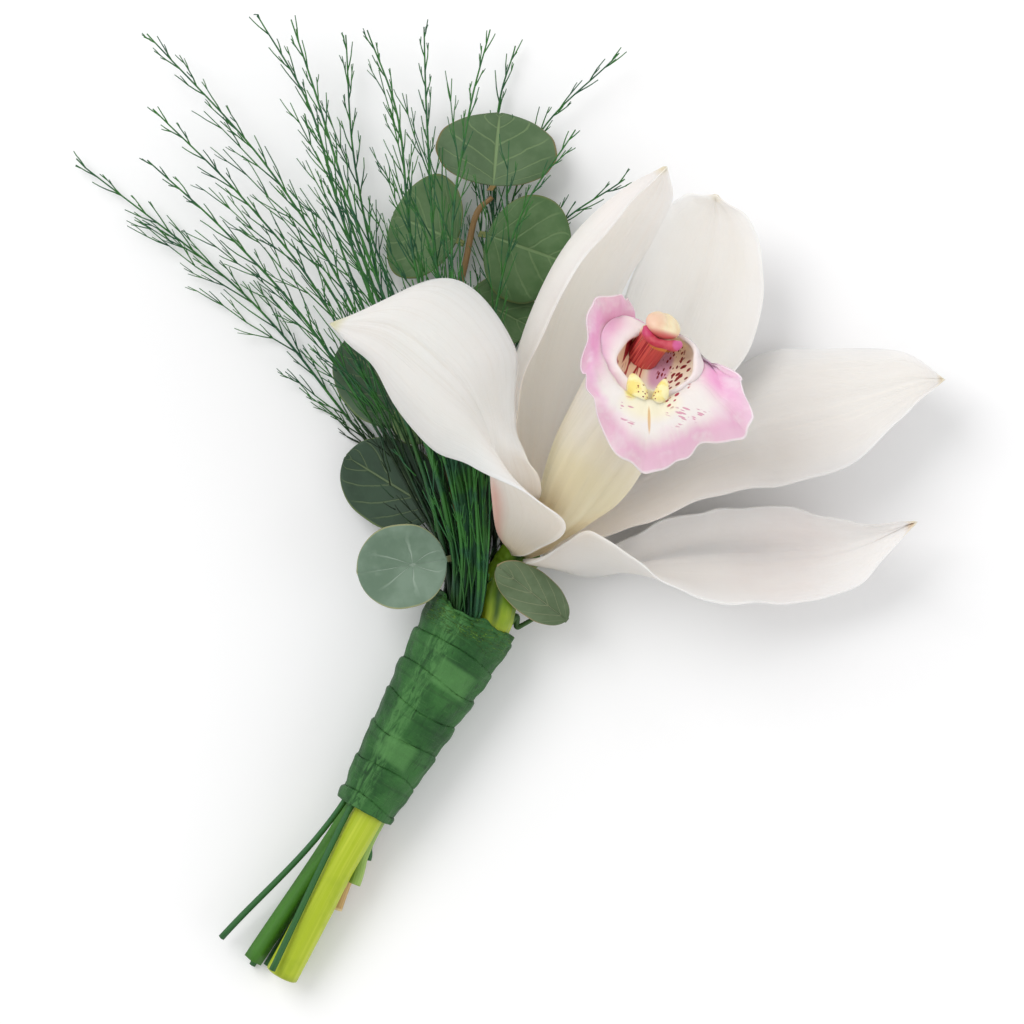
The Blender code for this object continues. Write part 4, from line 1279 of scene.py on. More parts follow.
@dataclass
class Throat:
    """The lip's throat: a bowl round the column's end, and the callus's two yellow ridges at its mouth.

    The bowl's rim carries on as a flange that reaches outward to the lip's wall, so that no gap shows.
    """

    middle: Point = (23.2, 21.2, 37.0)
    half_length: float = 6.2
    half_width: float = 4.9
    depth: float = 6.0
    fall_right: float = -0.3
    fall_back: float = -0.85
    thickness: float = 0.7
    columns: int = 96
    rows: int = 60
    rim_place: float = 0.7
    sector: float = 0.12
    farthest: float = 4.0
    steepest: float = 4.0
    least_flange: float = 0.15
    step_cost: float = 0.5
    overlap: float = 0.3
    bury: float = 0.35
    evenings: int = 10
    ridge_fall: float = 1.5
    ridges: tuple[tuple[Point, Point, float], ...] = (
        ((19.9, 16.6, 44.1), (1.55, 2.7, 1.5), 14.0), ((23.6, 15.8, 43.9), (1.2, 2.7, 1.35), -16.0)
    )

    def table(self) -> np.ndarray:
        """Returns the bowl's middle surface, from its floor to its rim."""
        across, along = grid_places(self.columns, self.rows)
        turn = across * math.pi
        bowl = np.clip(along / self.rim_place, 0, 1)
        beyond = np.clip((along - self.rim_place) / (1 - self.rim_place), 0, 1)
        reach = np.sin(bowl * math.pi / 2) ** 0.9
        wobble = 1 + 0.03 * np.sin(turn * 3 + 0.6) + 0.02 * np.sin(turn * 7)
        x = self.half_length * reach * np.sin(turn) * wobble
        y = -self.half_width * reach * np.cos(turn) * wobble
        height = self.fall_right * x + self.fall_back * y - self.depth * (1 - bowl**2)
        folds = 0.12 * np.sin(turn * 14) * reach * (1 - beyond)
        table = np.stack([x, y, height + folds], axis=2) + np.array(self.middle)
        outward, rise = self.meeting(table[-1])
        distance = np.maximum(np.hypot(x, y), 1e-6)
        table[..., 0] += x / distance * outward * beyond
        table[..., 1] += y / distance * outward * beyond
        table[..., 2] += rise * smooth_step(beyond, 0.0, 1.0)
        return table

    def meeting(self, rim: np.ndarray) -> tuple[np.ndarray, np.ndarray]:
        """Returns how far the lip's wall is from each point of the bowl's rim.

        Args:
            rim: The points of the rim.

        Returns:
            The distance outward and the rise, both in millimetres, for each point.
        """
        lip = Lip().table().reshape(-1, 3) - np.array(self.middle)
        lip_turn, lip_reach = np.arctan2(lip[:, 0], lip[:, 1]), np.hypot(lip[:, 0], lip[:, 1])
        outward, rise = np.full(len(rim), self.least_flange), np.zeros(len(rim))
        for index, spot in enumerate(rim - np.array(self.middle)):
            reach = math.hypot(spot[0], spot[1])
            aside = np.angle(np.exp(1j * (lip_turn - math.atan2(spot[0], spot[1]))))
            gap, step = lip_reach - reach, lip[:, 2] - spot[2]
            cost = gap + np.abs(step) * self.step_cost
            elsewhere = (np.abs(aside) > self.sector) | (np.abs(step) > self.steepest)
            cost[elsewhere | (gap < -self.overlap) | (gap > self.farthest)] = math.inf
            nearest = int(cost.argmin())
            if cost[nearest] < math.inf:
                outward[index], rise[index] = max(gap[nearest], 0.0) + self.bury, step[nearest]
        for _ in range(self.evenings):
            outward, rise = evened(outward), evened(rise)
        return outward, rise

    def build(self) -> None:
        """Builds and dresses the bowl and the ridges."""
        bowl = sheet("lip_throat", self.table(), "lip_pink")
        bowl.weld()
        bowl.thicken(self.thickness)
        bowl.dress(ThroatFinish().material(), LipOutside().material())
        bowl.finish()
        for side, (middle, radii, turn) in zip(("left", "right"), self.ridges):
            ridge = self.build_ridge("lip_callus_" + side, middle, radii, turn)
            ridge.dress(CallusFinish("callus_" + side).material())
            ridge.finish()

    def build_ridge(self, name: str, middle: Point, radii: Point, turn: float) -> Piece:
        """Builds one ridge of the callus.

        Args:
            name: The ridge's name.
            middle: Its middle in millimetres.
            radii: Its half width, half length and height.
            turn: Degrees that it leans to the left.

        Returns:
            The ridge.
        """
        bpy.ops.object.select_all(action="DESELECT")
        bpy.ops.mesh.primitive_uv_sphere_add(segments=48, ring_count=32, radius=1.0)
        obj = bpy.context.object
        obj.name = obj.data.name = name
        cosine, sine = math.cos(math.radians(turn)), math.sin(math.radians(turn))
        for vertex in obj.data.vertices:
            taper = 1 - 0.25 * vertex.co.y
            x, y, z = vertex.co.x * radii[0] * taper, vertex.co.y * radii[1], vertex.co.z * radii[2]
            z += 0.12 * math.sin(vertex.co.y * 7) * vertex.co.z - vertex.co.y * self.ridge_fall
            turned = np.array([x * cosine - y * sine, x * sine + y * cosine, z])
            vertex.co = Vector(placed(turned + np.array(middle)))
        return Piece(obj, "lip_pink")


@dataclass
class Column:
    """The column inside the lip, and the anther cap with the crimson roll at its end."""

    line: list[Point] = field(
        default_factory=lambda: [(8, -1, 17.5), (14, 9, 23.5), (19.5, 19.5, 30), (23.2, 25.2, 34.2)]
    )
    radii: tuple[float, ...] = (1.1, 1.6, 2.2, 2.5, 2.6)
    lift: float = 0.6
    offset: float = 0.5
    steps: int = 60
    sides: int = 40
    cap_middle: Point = (24.2, 26.75, 35.35)
    cap_radii: Point = (2.9, 2.6, 1.7)
    roll: tuple[Point, ...] = (
        (21.6, 26.6, 35.9), (21.8, 25.4, 36.3), (22.9, 24.2, 36.6), (24.4, 23.8, 36.6), (25.9, 23.6, 36.2),
        (26.9, 23.9, 35.6)
    )
    roll_radii: tuple[float, ...] = (0.5, 0.85, 0.75, 0.7, 0.9, 0.5)

    def build_column(self) -> Piece:
        """Returns the column, a round tube that widens towards its end."""
        start = RECEPTACLE + FACING * self.lift + DORSAL * self.offset
        places = np.linspace(0, 1, self.steps)
        path = through(np.array([start, *self.line]), places)
        radii = through(np.array(self.radii), places)
        piece = sheet("column", tube_table(path, radii, self.sides), "column_cream")
        piece.weld(outward=True)
        return piece

    def build_cap(self) -> Piece:
        """Returns the anther cap, a low dome with a groove down its middle."""
        bpy.ops.object.select_all(action="DESELECT")
        bpy.ops.mesh.primitive_uv_sphere_add(segments=64, ring_count=40, radius=1.0)
        obj = bpy.context.object
        obj.name = obj.data.name = "anther_cap"
        axis = Vector(self.line[-1]) - Vector(self.line[-2])
        turn = Vector(UP).rotation_difference(axis).to_matrix()
        for vertex in obj.data.vertices:
            groove = 1 - 0.14 * math.exp(-((vertex.co.x / 0.16) ** 2)) * max(vertex.co.z, 0.0)
            local = Vector([part * radius for part, radius in zip(vertex.co, self.cap_radii)]) * groove
            vertex.co = Vector(placed(np.array(turn @ local) + np.array(self.cap_middle)))
        return Piece(obj, "column_cream")

    def build_roll(self) -> Piece:
        """Returns the crimson roll along the cap's front edge."""
        places = np.linspace(0, 1, 48)
        path, radii = through(np.array(self.roll), places), through(np.array(self.roll_radii), places)
        piece = sheet("anther_roll", tube_table(path, radii, 20), "lip_pink")
        piece.weld(outward=True)
        return piece

    def build(self) -> None:
        """Builds and dresses the column, its cap and the roll."""
        column = self.build_column()
        column.dress(ColumnFinish().material())
        column.finish("column")
        cap = self.build_cap()
        cap.dress(CapFinish().material())
        cap.finish("anther_cap")
        roll = self.build_roll()
        roll.dress(RimFinish().material())
        roll.finish()


# ---------------------------------------------------------------- the bundle


# Each stem in the sleeve: offsets at its top, offsets at its bottom, and the stem's cut end.
BUNDLE = {
    "flower_stalk": ((-3.3, 2.0), (-0.9, 2.4), (-35.7, -75.5, 4.3)),
    "fern_main_stem": ((2.6, -1.4), (1.7, -1.4), (-40.4, -73.4, 3.0)),
    "eucalyptus_twig": ((-0.5, -2.6), (-1.2, -3.0), (-27.3, -65.2, 3.0)),
    "eucalyptus_side_shoot": ((-5.2, -2.0), (-3.0, -0.9), (-24.1, -61.1, 6.0)),
    "splayed": ((5.4, 1.2), (3.4, 1.6), (-45.4, -69.8, 3.5)),
    "upper": ((2.9, 1.4), (2.15, 3.9), (-37.1, -74.6, 8.2)),
    "low_middle": ((0.6, -5.3), (0.6, -4.4), (-38.3, -74.4, 0.75)),
    "low_left": ((3.0, -5.0), (2.3, -3.7), (-40.6, -74.4, 0.75)),
    "short_right": ((-3.6, -4.4), (-3.25, -2.75), (-22.0, -57.4, 3.6)),
    "inner": ((0.5, -0.8), (-0.7, -1.0), (-36.6, -75.0, 0.8))
}


def bundle_line(name: str) -> list[np.ndarray]:
    """Returns the three points that a stem has from its cut end to the sleeve's top."""
    top, bottom, end = BUNDLE[name]
    return [np.array(end), sleeve_place(*bottom, 1.0), sleeve_place(*top, 0.0)]


@dataclass
class Stem:
    """A round stem that tapers along a smooth line."""

    name: str
    slot: str
    line: list[Sequence[float]]
    radii: list[float]
    finish: StemFinish
    steps: int = 120
    sides: int = 36
    flutes: int = 9
    flute_depth: float = 0.025
    knobs: float = 0.03
    groove: float = 0.0
    groove_from: float = 0.0
    groove_width: float = 0.45
    seed: int = 1

    def build(self) -> Piece:
        """Returns the stem as a closed tube with faint flutes and knobs."""
        places = np.linspace(0, 1, self.steps)
        path = through(np.array([np.array(point, float) for point in self.line]), places)
        radii = through(np.array(self.radii), places)
        turn = np.linspace(-math.pi, math.pi, self.sides + 1)
        flutes = 1 + self.flute_depth * np.sin(turn * self.flutes)[None, :]
        chance = random.Random(self.seed)
        knobs = np.ones(self.steps)
        for count in (3.0, 7.0, 13.0):
            knobs += self.knobs * np.sin(places * count * math.tau + chance.uniform(0, math.tau)) / 2
        reach = np.minimum(radii[:, None] * flutes * knobs[:, None], radii[:, None] * 1.03)
        above = np.exp(-(((math.pi - np.abs(turn)) / self.groove_width) ** 2))[None, :]
        reach = reach * (
            1 - self.groove * above * smooth_step(places, self.groove_from, self.groove_from + 0.1)[:, None]
        )
        piece = sheet(self.name, tube_table(path, reach, self.sides), self.slot)
        piece.weld(outward=True)
        return piece

    def dress(self, piece: Piece, *nodes: str) -> None:
        """Gives the stem its finish, and the CAD nodes that it stands for."""
        piece.dress(self.finish.material())
        piece.finish(*nodes)


def stems() -> list[Stem]:
    """Returns the flower's stalk, the eucalyptus twig and its side shoot."""
    cut_end, sleeve_bottom, sleeve_top = bundle_line("flower_stalk")
    in_sleeve = sleeve_top + (sleeve_bottom - sleeve_top) * 0.25
    return [
        Stem(
            "flower_stalk", "orchid_stem",
            [
                cut_end, sleeve_bottom, in_sleeve, sleeve_top, (-1.0, -14.2, 9.6), (0.9, -10.4, 9.1),
                RECEPTACLE
            ],
            [2.6, 2.5, 2.6, 2.9, 3.1, 3.2, 3.2],
            StemFinish(
                "orchid_stalk_green", (166, 184, 38), (182, 196, 56), (206, 210, 130), (82, 120, 14),
                far_from=0.46, groove=(36, 72, 12)
            ),
            groove=0.2, groove_from=0.45, seed=4
        ),
        Stem(
            "eucalyptus_twig", "eucalyptus_twig",
            [
                *bundle_line("eucalyptus_twig"), (-7, -7, 7.5), (-9.5, 3, 8), (-11.5, 9, 8), (-10, 25, 7.5),
                (-6.8, 36, 7.5), (-4.8, 45, 8), (-2.2, 48, 8.5)
            ],
            [1.3, 1.2, 1.1, 0.9, 0.8, 0.7, 0.6, 0.5, 0.5, 0.4],
            StemFinish(
                "twig_bark", (178, 142, 84), (196, 164, 106), (222, 200, 150), (118, 92, 56), far_from=0.2
            ),
            sides=16, steps=160, knobs=0.12, seed=6
        ),
        Stem(
            "eucalyptus_side_shoot", "light_stem",
            [*bundle_line("eucalyptus_side_shoot"), (2.0, -20.2, 5.5), (5.5, -18.2, 6.8)],
            [0.95, 0.9, 0.7, 0.42, 0.35],
            StemFinish(
                "shoot_green", (134, 166, 78), (156, 184, 98), (214, 214, 160), (44, 84, 44), far_from=0.45
            ),
            sides=16, seed=8
        )
    ]


@dataclass
class Sleeve:
    """The sleeve of wound tape, open at both ends, with a step at the edge of each turn."""

    top_radii: tuple[float, float] = (7.6, 7.6)
    bottom_radii: tuple[float, float] = (4.65, 6.3)
    wall: float = 0.4
    turns: float = 6.4
    slant: float = 0.3
    step: float = 0.42
    crumple: float = 0.55
    columns: int = 192
    rows: int = 200

    def table(self) -> np.ndarray:
        """Returns the sleeve's outer surface."""
        across, along = grid_places(self.columns, self.rows)
        turn = (across + 1) * math.pi
        wide = self.top_radii[0] + (self.bottom_radii[0] - self.top_radii[0]) * along
        tall = self.top_radii[1] + (self.bottom_radii[1] - self.top_radii[1]) * along
        wound = along * self.turns - self.slant * (across + 1) / 2 + 0.08 * np.sin(turn * 2 + along * 9)
        share = wound - np.floor(wound)
        depth = self.step * (share**1.3) * (1 - smooth_step(share, 0.93, 1.0))
        creases = ripples(np.sin(turn), along, [(2.0, 3.0, 0.06), (3.4, 7.0, 0.05), (1.0, 15.0, 0.05)], 31)
        creases += ripples(np.cos(turn), along, [(3.0, 5.0, 0.05), (5.0, 2.0, 0.05), (7.0, 9.0, 0.03)], 33)
        lip = (1 - smooth_step(along, 0.0, 0.09)) * self.crumple
        crumple = ripples(np.sin(turn), along, [(1.6, 4.0, 0.6), (3.4, 9.0, 0.3)], 35) * lip
        crumple += ripples(np.cos(turn), along, [(2.2, 6.0, 0.5), (4.6, 14.0, 0.2)], 37) * lip
        inward = np.maximum(depth + creases + np.abs(crumple) + 0.1, 0.0)
        axis = TAPE_TOP + (TAPE_BOTTOM - TAPE_TOP) * along[..., None]
        slack = (crumple * 1.2 + lip * 0.4)[..., None] * unit(TAPE_TOP - TAPE_BOTTOM)
        sideways, downward = (wide - inward) * np.sin(turn), (tall - inward) * np.cos(turn)
        outward = ACROSS * sideways[..., None] - UP * downward[..., None]
        return axis + outward + slack

    def build(self) -> Piece:
        """Returns the sleeve with its wall."""
        piece = sheet("floral_tape", self.table(), "floral_tape")
        piece.weld()
        piece.thicken(self.wall, offset=-1.0)
        return piece

    def dress(self, piece: Piece) -> None:
        """Gives the sleeve its tape finish."""
        piece.dress(TapeFinish().material())
        piece.finish("floral_tape")


# ---------------------------------------------------------------- eucalyptus


# Waves of a leaf: turns across, turns along, and height in millimetres.
LEAF_WAVES = [(1.2, 1.0, 0.5), (0.8, 3.0, 0.35)]


@dataclass
class Leaf:
    """A round leaf on a short flat stalk."""

    name: str
    seat: Point
    near: Point
    tip: Point
    width: float
    rise: float
    finish: LeafFinish
    seed: int = 1
    thickness: float = 0.4
    stalk_half_width: float = 0.5
    stalk_part: float = 0.125
    wave: float = 0.3
    columns: int = 40
    rows: int = 64

    def table(self) -> np.ndarray:
        """Returns the leaf's middle surface."""
        seat, near, tip = (np.array(point, float) for point in (self.seat, self.near, self.tip))
        sideways = unit(np.cross(tip - near, UP))
        normal = np.cross(sideways, unit(tip - near))
        across, along = grid_places(self.columns, self.rows)
        blade = np.clip((along - self.stalk_part) / (1 - self.stalk_part), 0, 1)
        stalk = np.clip(along / self.stalk_part, 0, 1)[..., None]
        share = (1 - np.cos(math.pi * blade)) / 2
        floor = np.where(blade > 0.5, 0.0, self.stalk_half_width)
        half = np.maximum(self.width / 2 * np.sin(math.pi * blade), floor)
        cup = self.rise * (across * half / (self.width / 2)) ** 2 - self.rise * 0.5 * np.sin(math.pi * share)
        reach = np.sin(math.pi * blade)
        cup = cup + ripples(across, along, LEAF_WAVES, self.seed) * self.wave * across**2 * reach
        cup = cup - 0.18 * np.exp(-((across / 0.06) ** 2)) * reach
        outline = 1 + ripples(along, along, [(0.0, 2.0, 0.012), (0.0, 5.0, 0.008)], self.seed + 3)
        middle = np.where(
            along[..., None] < self.stalk_part, seat + (near - seat) * stalk,
            near + (tip - near) * share[..., None]
        )
        return middle + sideways * (across * half * outline)[..., None] + normal * cup[..., None]

    def build(self) -> Piece:
        """Returns the leaf as a thin closed shell."""
        across, _ = grid_places(self.columns, self.rows)
        piece = sheet(self.name, self.table(), "eucalyptus_leaf", 1 - smooth_step(np.abs(across), 0.8, 1.0))
        piece.weld()
        piece.thicken(self.thickness, edge=0.4)
        return piece

    def dress(self, piece: Piece) -> None:
        """Gives the leaf its finish on both faces."""
        piece.dress(self.finish.material())
        piece.finish(self.name)


RIM_BROWN = (134, 112, 62)
RIM_PALE = (150, 160, 110)


def leaves() -> list[Leaf]:
    """Returns the eucalyptus leaves, from the twig's end to the collar."""
    upper = LeafFinish("leaf_upper", (70, 102, 57), (92, 121, 78), (118, 144, 96), (112, 120, 62))
    middle = LeafFinish("leaf_middle", (60, 83, 58), (77, 100, 75), (114, 134, 92), (104, 122, 70))
    lower = LeafFinish("leaf_lower", (36, 60, 40), (50, 74, 54), (104, 122, 84), (104, 122, 70))
    return [
        Leaf(
            "eucalyptus_leaf_top", (-2.6, 49.0, 8.8), (-2.0, 49.8, 8.8), (-1.0, 61.5, 4.5), 19.4, -1.5,
            LeafFinish("leaf_top", (74, 100, 64), (90, 114, 79), (122, 146, 98), RIM_BROWN), seed=2
        ),
        Leaf(
            "eucalyptus_leaf_upper_left", (-6.7, 40.6, 7.7), (-7.8, 41.2, 7.2), (-18.0, 45.5, 2.5), 17.5,
            1.5, upper, 3
        ),
        Leaf(
            "eucalyptus_leaf_upper_right", (-4.3, 42.2, 8.0), (-3.0, 42.0, 8.2), (9.8, 37.6, 6.5), 17.5,
            -1.5, upper, 4
        ),
        Leaf(
            "eucalyptus_leaf_hidden", (-7.0, 33.2, 7.0), (-5.8, 32.6, 6.0), (4.0, 27.5, 4.2), 11.5, 0.6,
            upper, 5
        ),
        Leaf(
            "eucalyptus_leaf_middle_left", (-12.2, 12.6, 7.6), (-13.4, 13.4, 7.0), (-26.0, 25.0, 4.0), 14.0,
            1.0, middle, 6
        ),
        Leaf(
            "eucalyptus_leaf_small", (-12.4, 8.4, 8.2), (-13.0, 9.2, 8.8), (-17.0, 14.6, 8.9), 5.5, 0.2,
            LeafFinish("leaf_small", (104, 136, 84), (124, 154, 102), (150, 172, 120), RIM_PALE), seed=7
        ),
        Leaf(
            "eucalyptus_leaf_lower_left", (-9.4, -2.6, 7.2), (-11.2, -1.8, 6.4), (-25.5, 7.0, 4.0), 14.0,
            1.0, lower, 8
        ),
        Leaf(
            "eucalyptus_leaf_front", (-7.6, -9.0, 9.0), (-9.4, -9.4, 12.6), (-23.4, -11.6, 13.6), 13.5, 1.0,
            LeafFinish(
                "leaf_front", (94, 118, 98), (116, 138, 120), (156, 174, 158), (160, 160, 110), Veins.RADIAL
            ),
            seed=9
        ),
        Leaf(
            "eucalyptus_leaf_collar", (6.3, -18.6, 7.6), (9.6, -19.0, 9.4), (-1.3, -10.4, 16.6), 7.2, -0.3,
            LeafFinish("leaf_collar", (76, 96, 62), (98, 116, 84), (140, 148, 112), (164, 144, 104)),
            wave=0.55, seed=10
        )
    ]


# ---------------------------------------------------------------- fern


# Each frond: the stem that it belongs to, or its place in the sleeve, then its line to the tip.
FRONDS = {
    "fern_frond_01": ("low_left", [(-13, -3, 1.8), (-26, 14, 1.2), (-42, 33, 1.4), (-69, 54.5, 2.0)]),
    "fern_frond_02": ("splayed", [(-15, 1, 8.8), (-30, 26, 8.5), (-44, 42, 7.0), (-57, 54, 6.0)]),
    "fern_frond_03": (
        "upper", [(-9.6, -11, 10.2), (-13.0, -1, 11.0), (-28, 30, 11.0), (-41, 47, 9.0), (-56, 62, 8.0)]
    ),
    "fern_frond_04": (
        "fern_main_stem", [(-11.5, -2, 9.6), (-24, 30, 12.0), (-38, 53, 9.0), (-57, 74, 7.0)]
    ),
    "fern_frond_05": ((4.0, 3.6), [(-10.5, 2, 15.5), (-25, 42, 13.0), (-31, 62, 10.5), (-39.5, 77, 8.0)]),
    "fern_frond_06": ((2.6, 4.6), [(-9, 4, 18.0), (-23, 42, 15.5), (-30, 64, 12.5), (-34, 76, 10.0)]),
    "fern_frond_07": ((4.4, -3.0), [(-9, 2, 3.2), (-18, 26, 1.6), (-24, 53, 3.5), (-25.5, 74, 5.0)]),
    "fern_frond_08": ((0.6, 4.4), [(-7, 5, 15.0), (-14.5, 38, 14.0), (-17, 60, 11.0), (-22, 74.5, 8.0)]),
    "fern_frond_09": ((1.2, 3.1), [(-6, 3, 12.5), (-11, 38, 12.5), (-12.5, 60, 10.0), (-13, 75, 8.0)]),
    "fern_frond_10": ((-0.4, 6.0), [(-5, 5, 19.0), (-8.5, 38, 17.0), (-6, 60, 12.0), (-2.5, 74.5, 9.0)]),
    "fern_frond_11": ("low_middle", [(-5, 0, 3.2), (-2.5, 30, 3.0), (-1.5, 60, 2.0), (1.5, 72.5, 2.2)]),
    "fern_frond_12": (
        "inner", [(-4.4, -14, 8.2), (-3, -3, 5.5), (-2, 30, 2.0), (4, 56, 3.0), (18, 71, 6.0)]
    ),
    "fern_frond_13": ((1.5, 0.55), [(-3.5, 2, 8.0), (-2.5, 24, 11.0), (2.0, 44, 12.5), (11, 58.5, 11.0)]),
    "fern_frond_14": (
        "short_right", [(-0.5, -12, 4.0), (-1.5, 8, 2.0), (0, 25, 1.6), (7, 42, 4.0), (18.8, 50.8, 9.0)]
    )
}


# The front leaf lies on top of the ferns, so twigs that would come nearer than this to its middle are
# left out. Both are in millimetres.
FRONT_LEAF_PLACE = (-15.5, -10.4)
FRONT_LEAF_CLEAR = 6.0

# The thick green stem's radii at its cut end, at the sleeve's bottom and at its top.
FERN_MAIN_STEM_RADII = (1.55, 1.5, 1.3)

# The number of the last point along a frond's axis.
AXIS_LAST = 89


class FernPart(Enum):
    """Which part of a frond a strand is, by its material's place."""

    STEM = 0
    TWIG = 1
    TIP = 2


@dataclass
class Frond:
    """A fern frond: a stem and axis with fine twigs that fork towards their ends."""

    name: str
    root: Union[str, tuple[float, float]]
    tip_line: list[Point]
    seed: int
    stem_radii: tuple[float, float, float] = (0.52, 0.46, 0.36)
    radius: float = 0.32
    tip_radius: float = 0.11
    twig_radius: float = 0.12
    short_end: float = 0.35
    spacing: float = 2.7
    companions: int = 3
    companion_radius: float = 0.17
    under: int = 3
    under_radius: float = 0.5
    under_share: float = 0.6
    bare: float = 0.26
    twig_length: float = 11.0
    branch_length: float = 23.0
    spread: float = math.radians(15.5)
    fork_share: float = 0.42
    sway: float = 0.07
    straightening: float = 0.14
    thin_end: float = 0.62
    end_gap: float = 1.5
    long_every: int = 4
    long_until: float = 0.75
    side_share: float = 0.34
    strands: list[tuple[np.ndarray, np.ndarray, FernPart]] = field(default_factory=list)

    def axis(self) -> tuple[np.ndarray, np.ndarray, float]:
        """Returns the frond's line, its radius along it, and the share of it that lies in the bundle."""
        if isinstance(self.root, str):
            start = bundle_line(self.root)
            radii = list(FERN_MAIN_STEM_RADII if self.root == "fern_main_stem" else self.stem_radii)
        else:
            start = [sleeve_place(*self.root, self.short_end), sleeve_place(*self.root, 0.0)]
            radii = [self.radius, self.radius]
        count = len(self.tip_line)
        taper = self.tip_radius - self.radius
        radii += [self.radius + taper * (index + 1) / count for index in range(count)]
        knots = np.array([*start, *self.tip_line], float)
        places = np.linspace(0, 1, AXIS_LAST + 1)
        return through(knots, places), through(np.array(radii), places), (len(start) - 1) / (len(knots) - 1)

    def strand(
        self, start: np.ndarray, way: np.ndarray, side: np.ndarray, length: float, radius: float,
        part: FernPart, chance: random.Random
    ) -> np.ndarray:
        """Adds one twig that leaves sideways and bends forward.

        Args:
            start: Where it leaves.
            way: The way that its parent runs there.
            side: The way that it leaves to.
            length: Its length in millimetres.
            radius: Its radius where it starts.
            part: Which part of the frond it is.
            chance: The frond's random numbers.

        Returns:
            The points along it.
        """
        spread = self.spread * chance.uniform(0.65, 1.35)
        lift = UP * chance.uniform(-0.1, 0.16)
        points = [start]
        for index in range(4):
            lean = spread * (1 - self.straightening * index)
            heading = way * math.cos(lean) + side * math.sin(lean) + lift
            sway = np.array([chance.uniform(-1, 1), chance.uniform(-1, 1), 0]) * self.sway
            points.append(points[-1] + (heading + sway) * length / 4)
        line = np.array(points)
        line[:, 2] = np.maximum(line[:, 2], LOWEST + radius)
        self.strands.append((line, np.linspace(radius, radius * self.thin_end, len(line)), part))
        return line

    def forks(self, line: np.ndarray, length: float, radius: float, chance: random.Random) -> None:
        """Adds the small forks near a twig's end.

        Args:
            line: The points along the twig.
            length: The twig's length.
            radius: Its radius.
            chance: The frond's random numbers.
        """
        hand = chance.choice((1, -1))
        for index in (1, 2, 3):
            hand = -hand
            if chance.random() < self.fork_share:
                way = unit(line[index + 1] - line[index])
                reach = min(length * chance.uniform(0.2, 0.4), 3.2)
                side = unit(np.cross(UP, way)) * hand
                self.strand(line[index], way, side, reach, radius * 0.85, FernPart.TIP, chance)

    def grow(self) -> None:
        """Fills the list of strands."""
        chance = random.Random(self.seed)
        path, radii, in_bundle = self.axis()
        self.strands.append((path, radii, FernPart.STEM))
        lengths = np.concatenate([[0], np.cumsum(np.linalg.norm(np.diff(path, axis=0), axis=1))])
        start = lengths[int(in_bundle * AXIS_LAST)]
        total = lengths[-1]
        place = start + (total - start) * self.bare
        count = 0
        while place < total - self.end_gap:
            index = int(np.searchsorted(lengths, place))
            way = unit(path[min(index + 1, AXIS_LAST)] - path[index - 1])
            side = unit(np.cross(UP, way)) * (1 if count % 2 else -1)
            done = (place - start) / (total - start)
            long = count % self.long_every == 1 and done < self.long_until
            length = (self.branch_length if long else self.twig_length) * chance.uniform(0.6, 1.15)
            # Shorter from the axis's middle towards its tip, and again where the first twigs start.
            length *= 1.05 - 0.75 * max(done - 0.45, 0) / 0.55
            length *= 0.55 + 0.45 * min((done - self.bare) / 0.25, 1.0)
            length = min(length, (total - place) * 1.05 + self.end_gap)
            line = self.strand(path[index], way, side, length, self.twig_radius, FernPart.TWIG, chance)
            self.forks(line, length, self.twig_radius, chance)
            # A long branch carries three twigs of its own.
            if long:
                for joint in (1, 2, 3):
                    heading = unit(line[joint + 1] - line[joint])
                    turned = unit(np.cross(UP, heading)) * (1 if joint % 2 else -1)
                    reach, thin = length * self.side_share, self.twig_radius * 0.85
                    twig = self.strand(line[joint], heading, turned, reach, thin, FernPart.TWIG, chance)
                    self.forks(twig, reach, self.twig_radius * 0.8, chance)
            place += self.spacing * chance.uniform(0.75, 1.25)
            count += 1
        for index in range(self.companions):
            self.run_beside(path, int(in_bundle * AXIS_LAST), 1 if index % 2 else -1, chance)
        for index in range(self.under):
            self.run_under(path, int(in_bundle * AXIS_LAST), 1 if index % 2 else -1, chance)

    def run_beside(self, path: np.ndarray, first: int, hand: int, chance: random.Random) -> None:
        """Adds a thin strand that runs beside the axis and then leaves it, with twigs at its end.

        Args:
            path: The points along the axis.
            first: The point where the axis leaves the sleeve.
            hand: 1 for its left and -1 for its right.
            chance: The frond's random numbers.
        """
        last = first + int((AXIS_LAST - first) * chance.uniform(0.3, 0.72))
        line = path[max(first - 4, 0) : last : 3].copy()
        share = np.linspace(0, 1, len(line))
        side = unit(np.cross(UP, path[last] - path[first])) * hand
        sway = 0.4 * np.sin(share * chance.uniform(5, 12) + chance.uniform(0, 6))
        apart = 0.6 * smooth_step(share, 0.0, 0.2) + chance.uniform(1.2, 5.0) * share**1.6 + sway * share
        line += side * apart[:, None] + UP * (chance.uniform(-1.6, 1.2) * share * (1 - share) * 4)[:, None]
        line[:, 2] = np.maximum(line[:, 2], LOWEST + self.companion_radius)
        self.strands.append(
            (line, np.linspace(self.companion_radius, self.tip_radius, len(line)), FernPart.TWIG)
        )
        for index in range(len(line) // 3, len(line) - 1, 2):
            way = unit(line[index + 1] - line[index])
            turned = unit(np.cross(UP, way)) * (1 if index % 4 < 2 else -1)
            length = self.twig_length * chance.uniform(0.5, 1.0)
            twig = self.strand(line[index], way, turned, length, self.twig_radius, FernPart.TWIG, chance)
            self.forks(twig, length, self.twig_radius, chance)

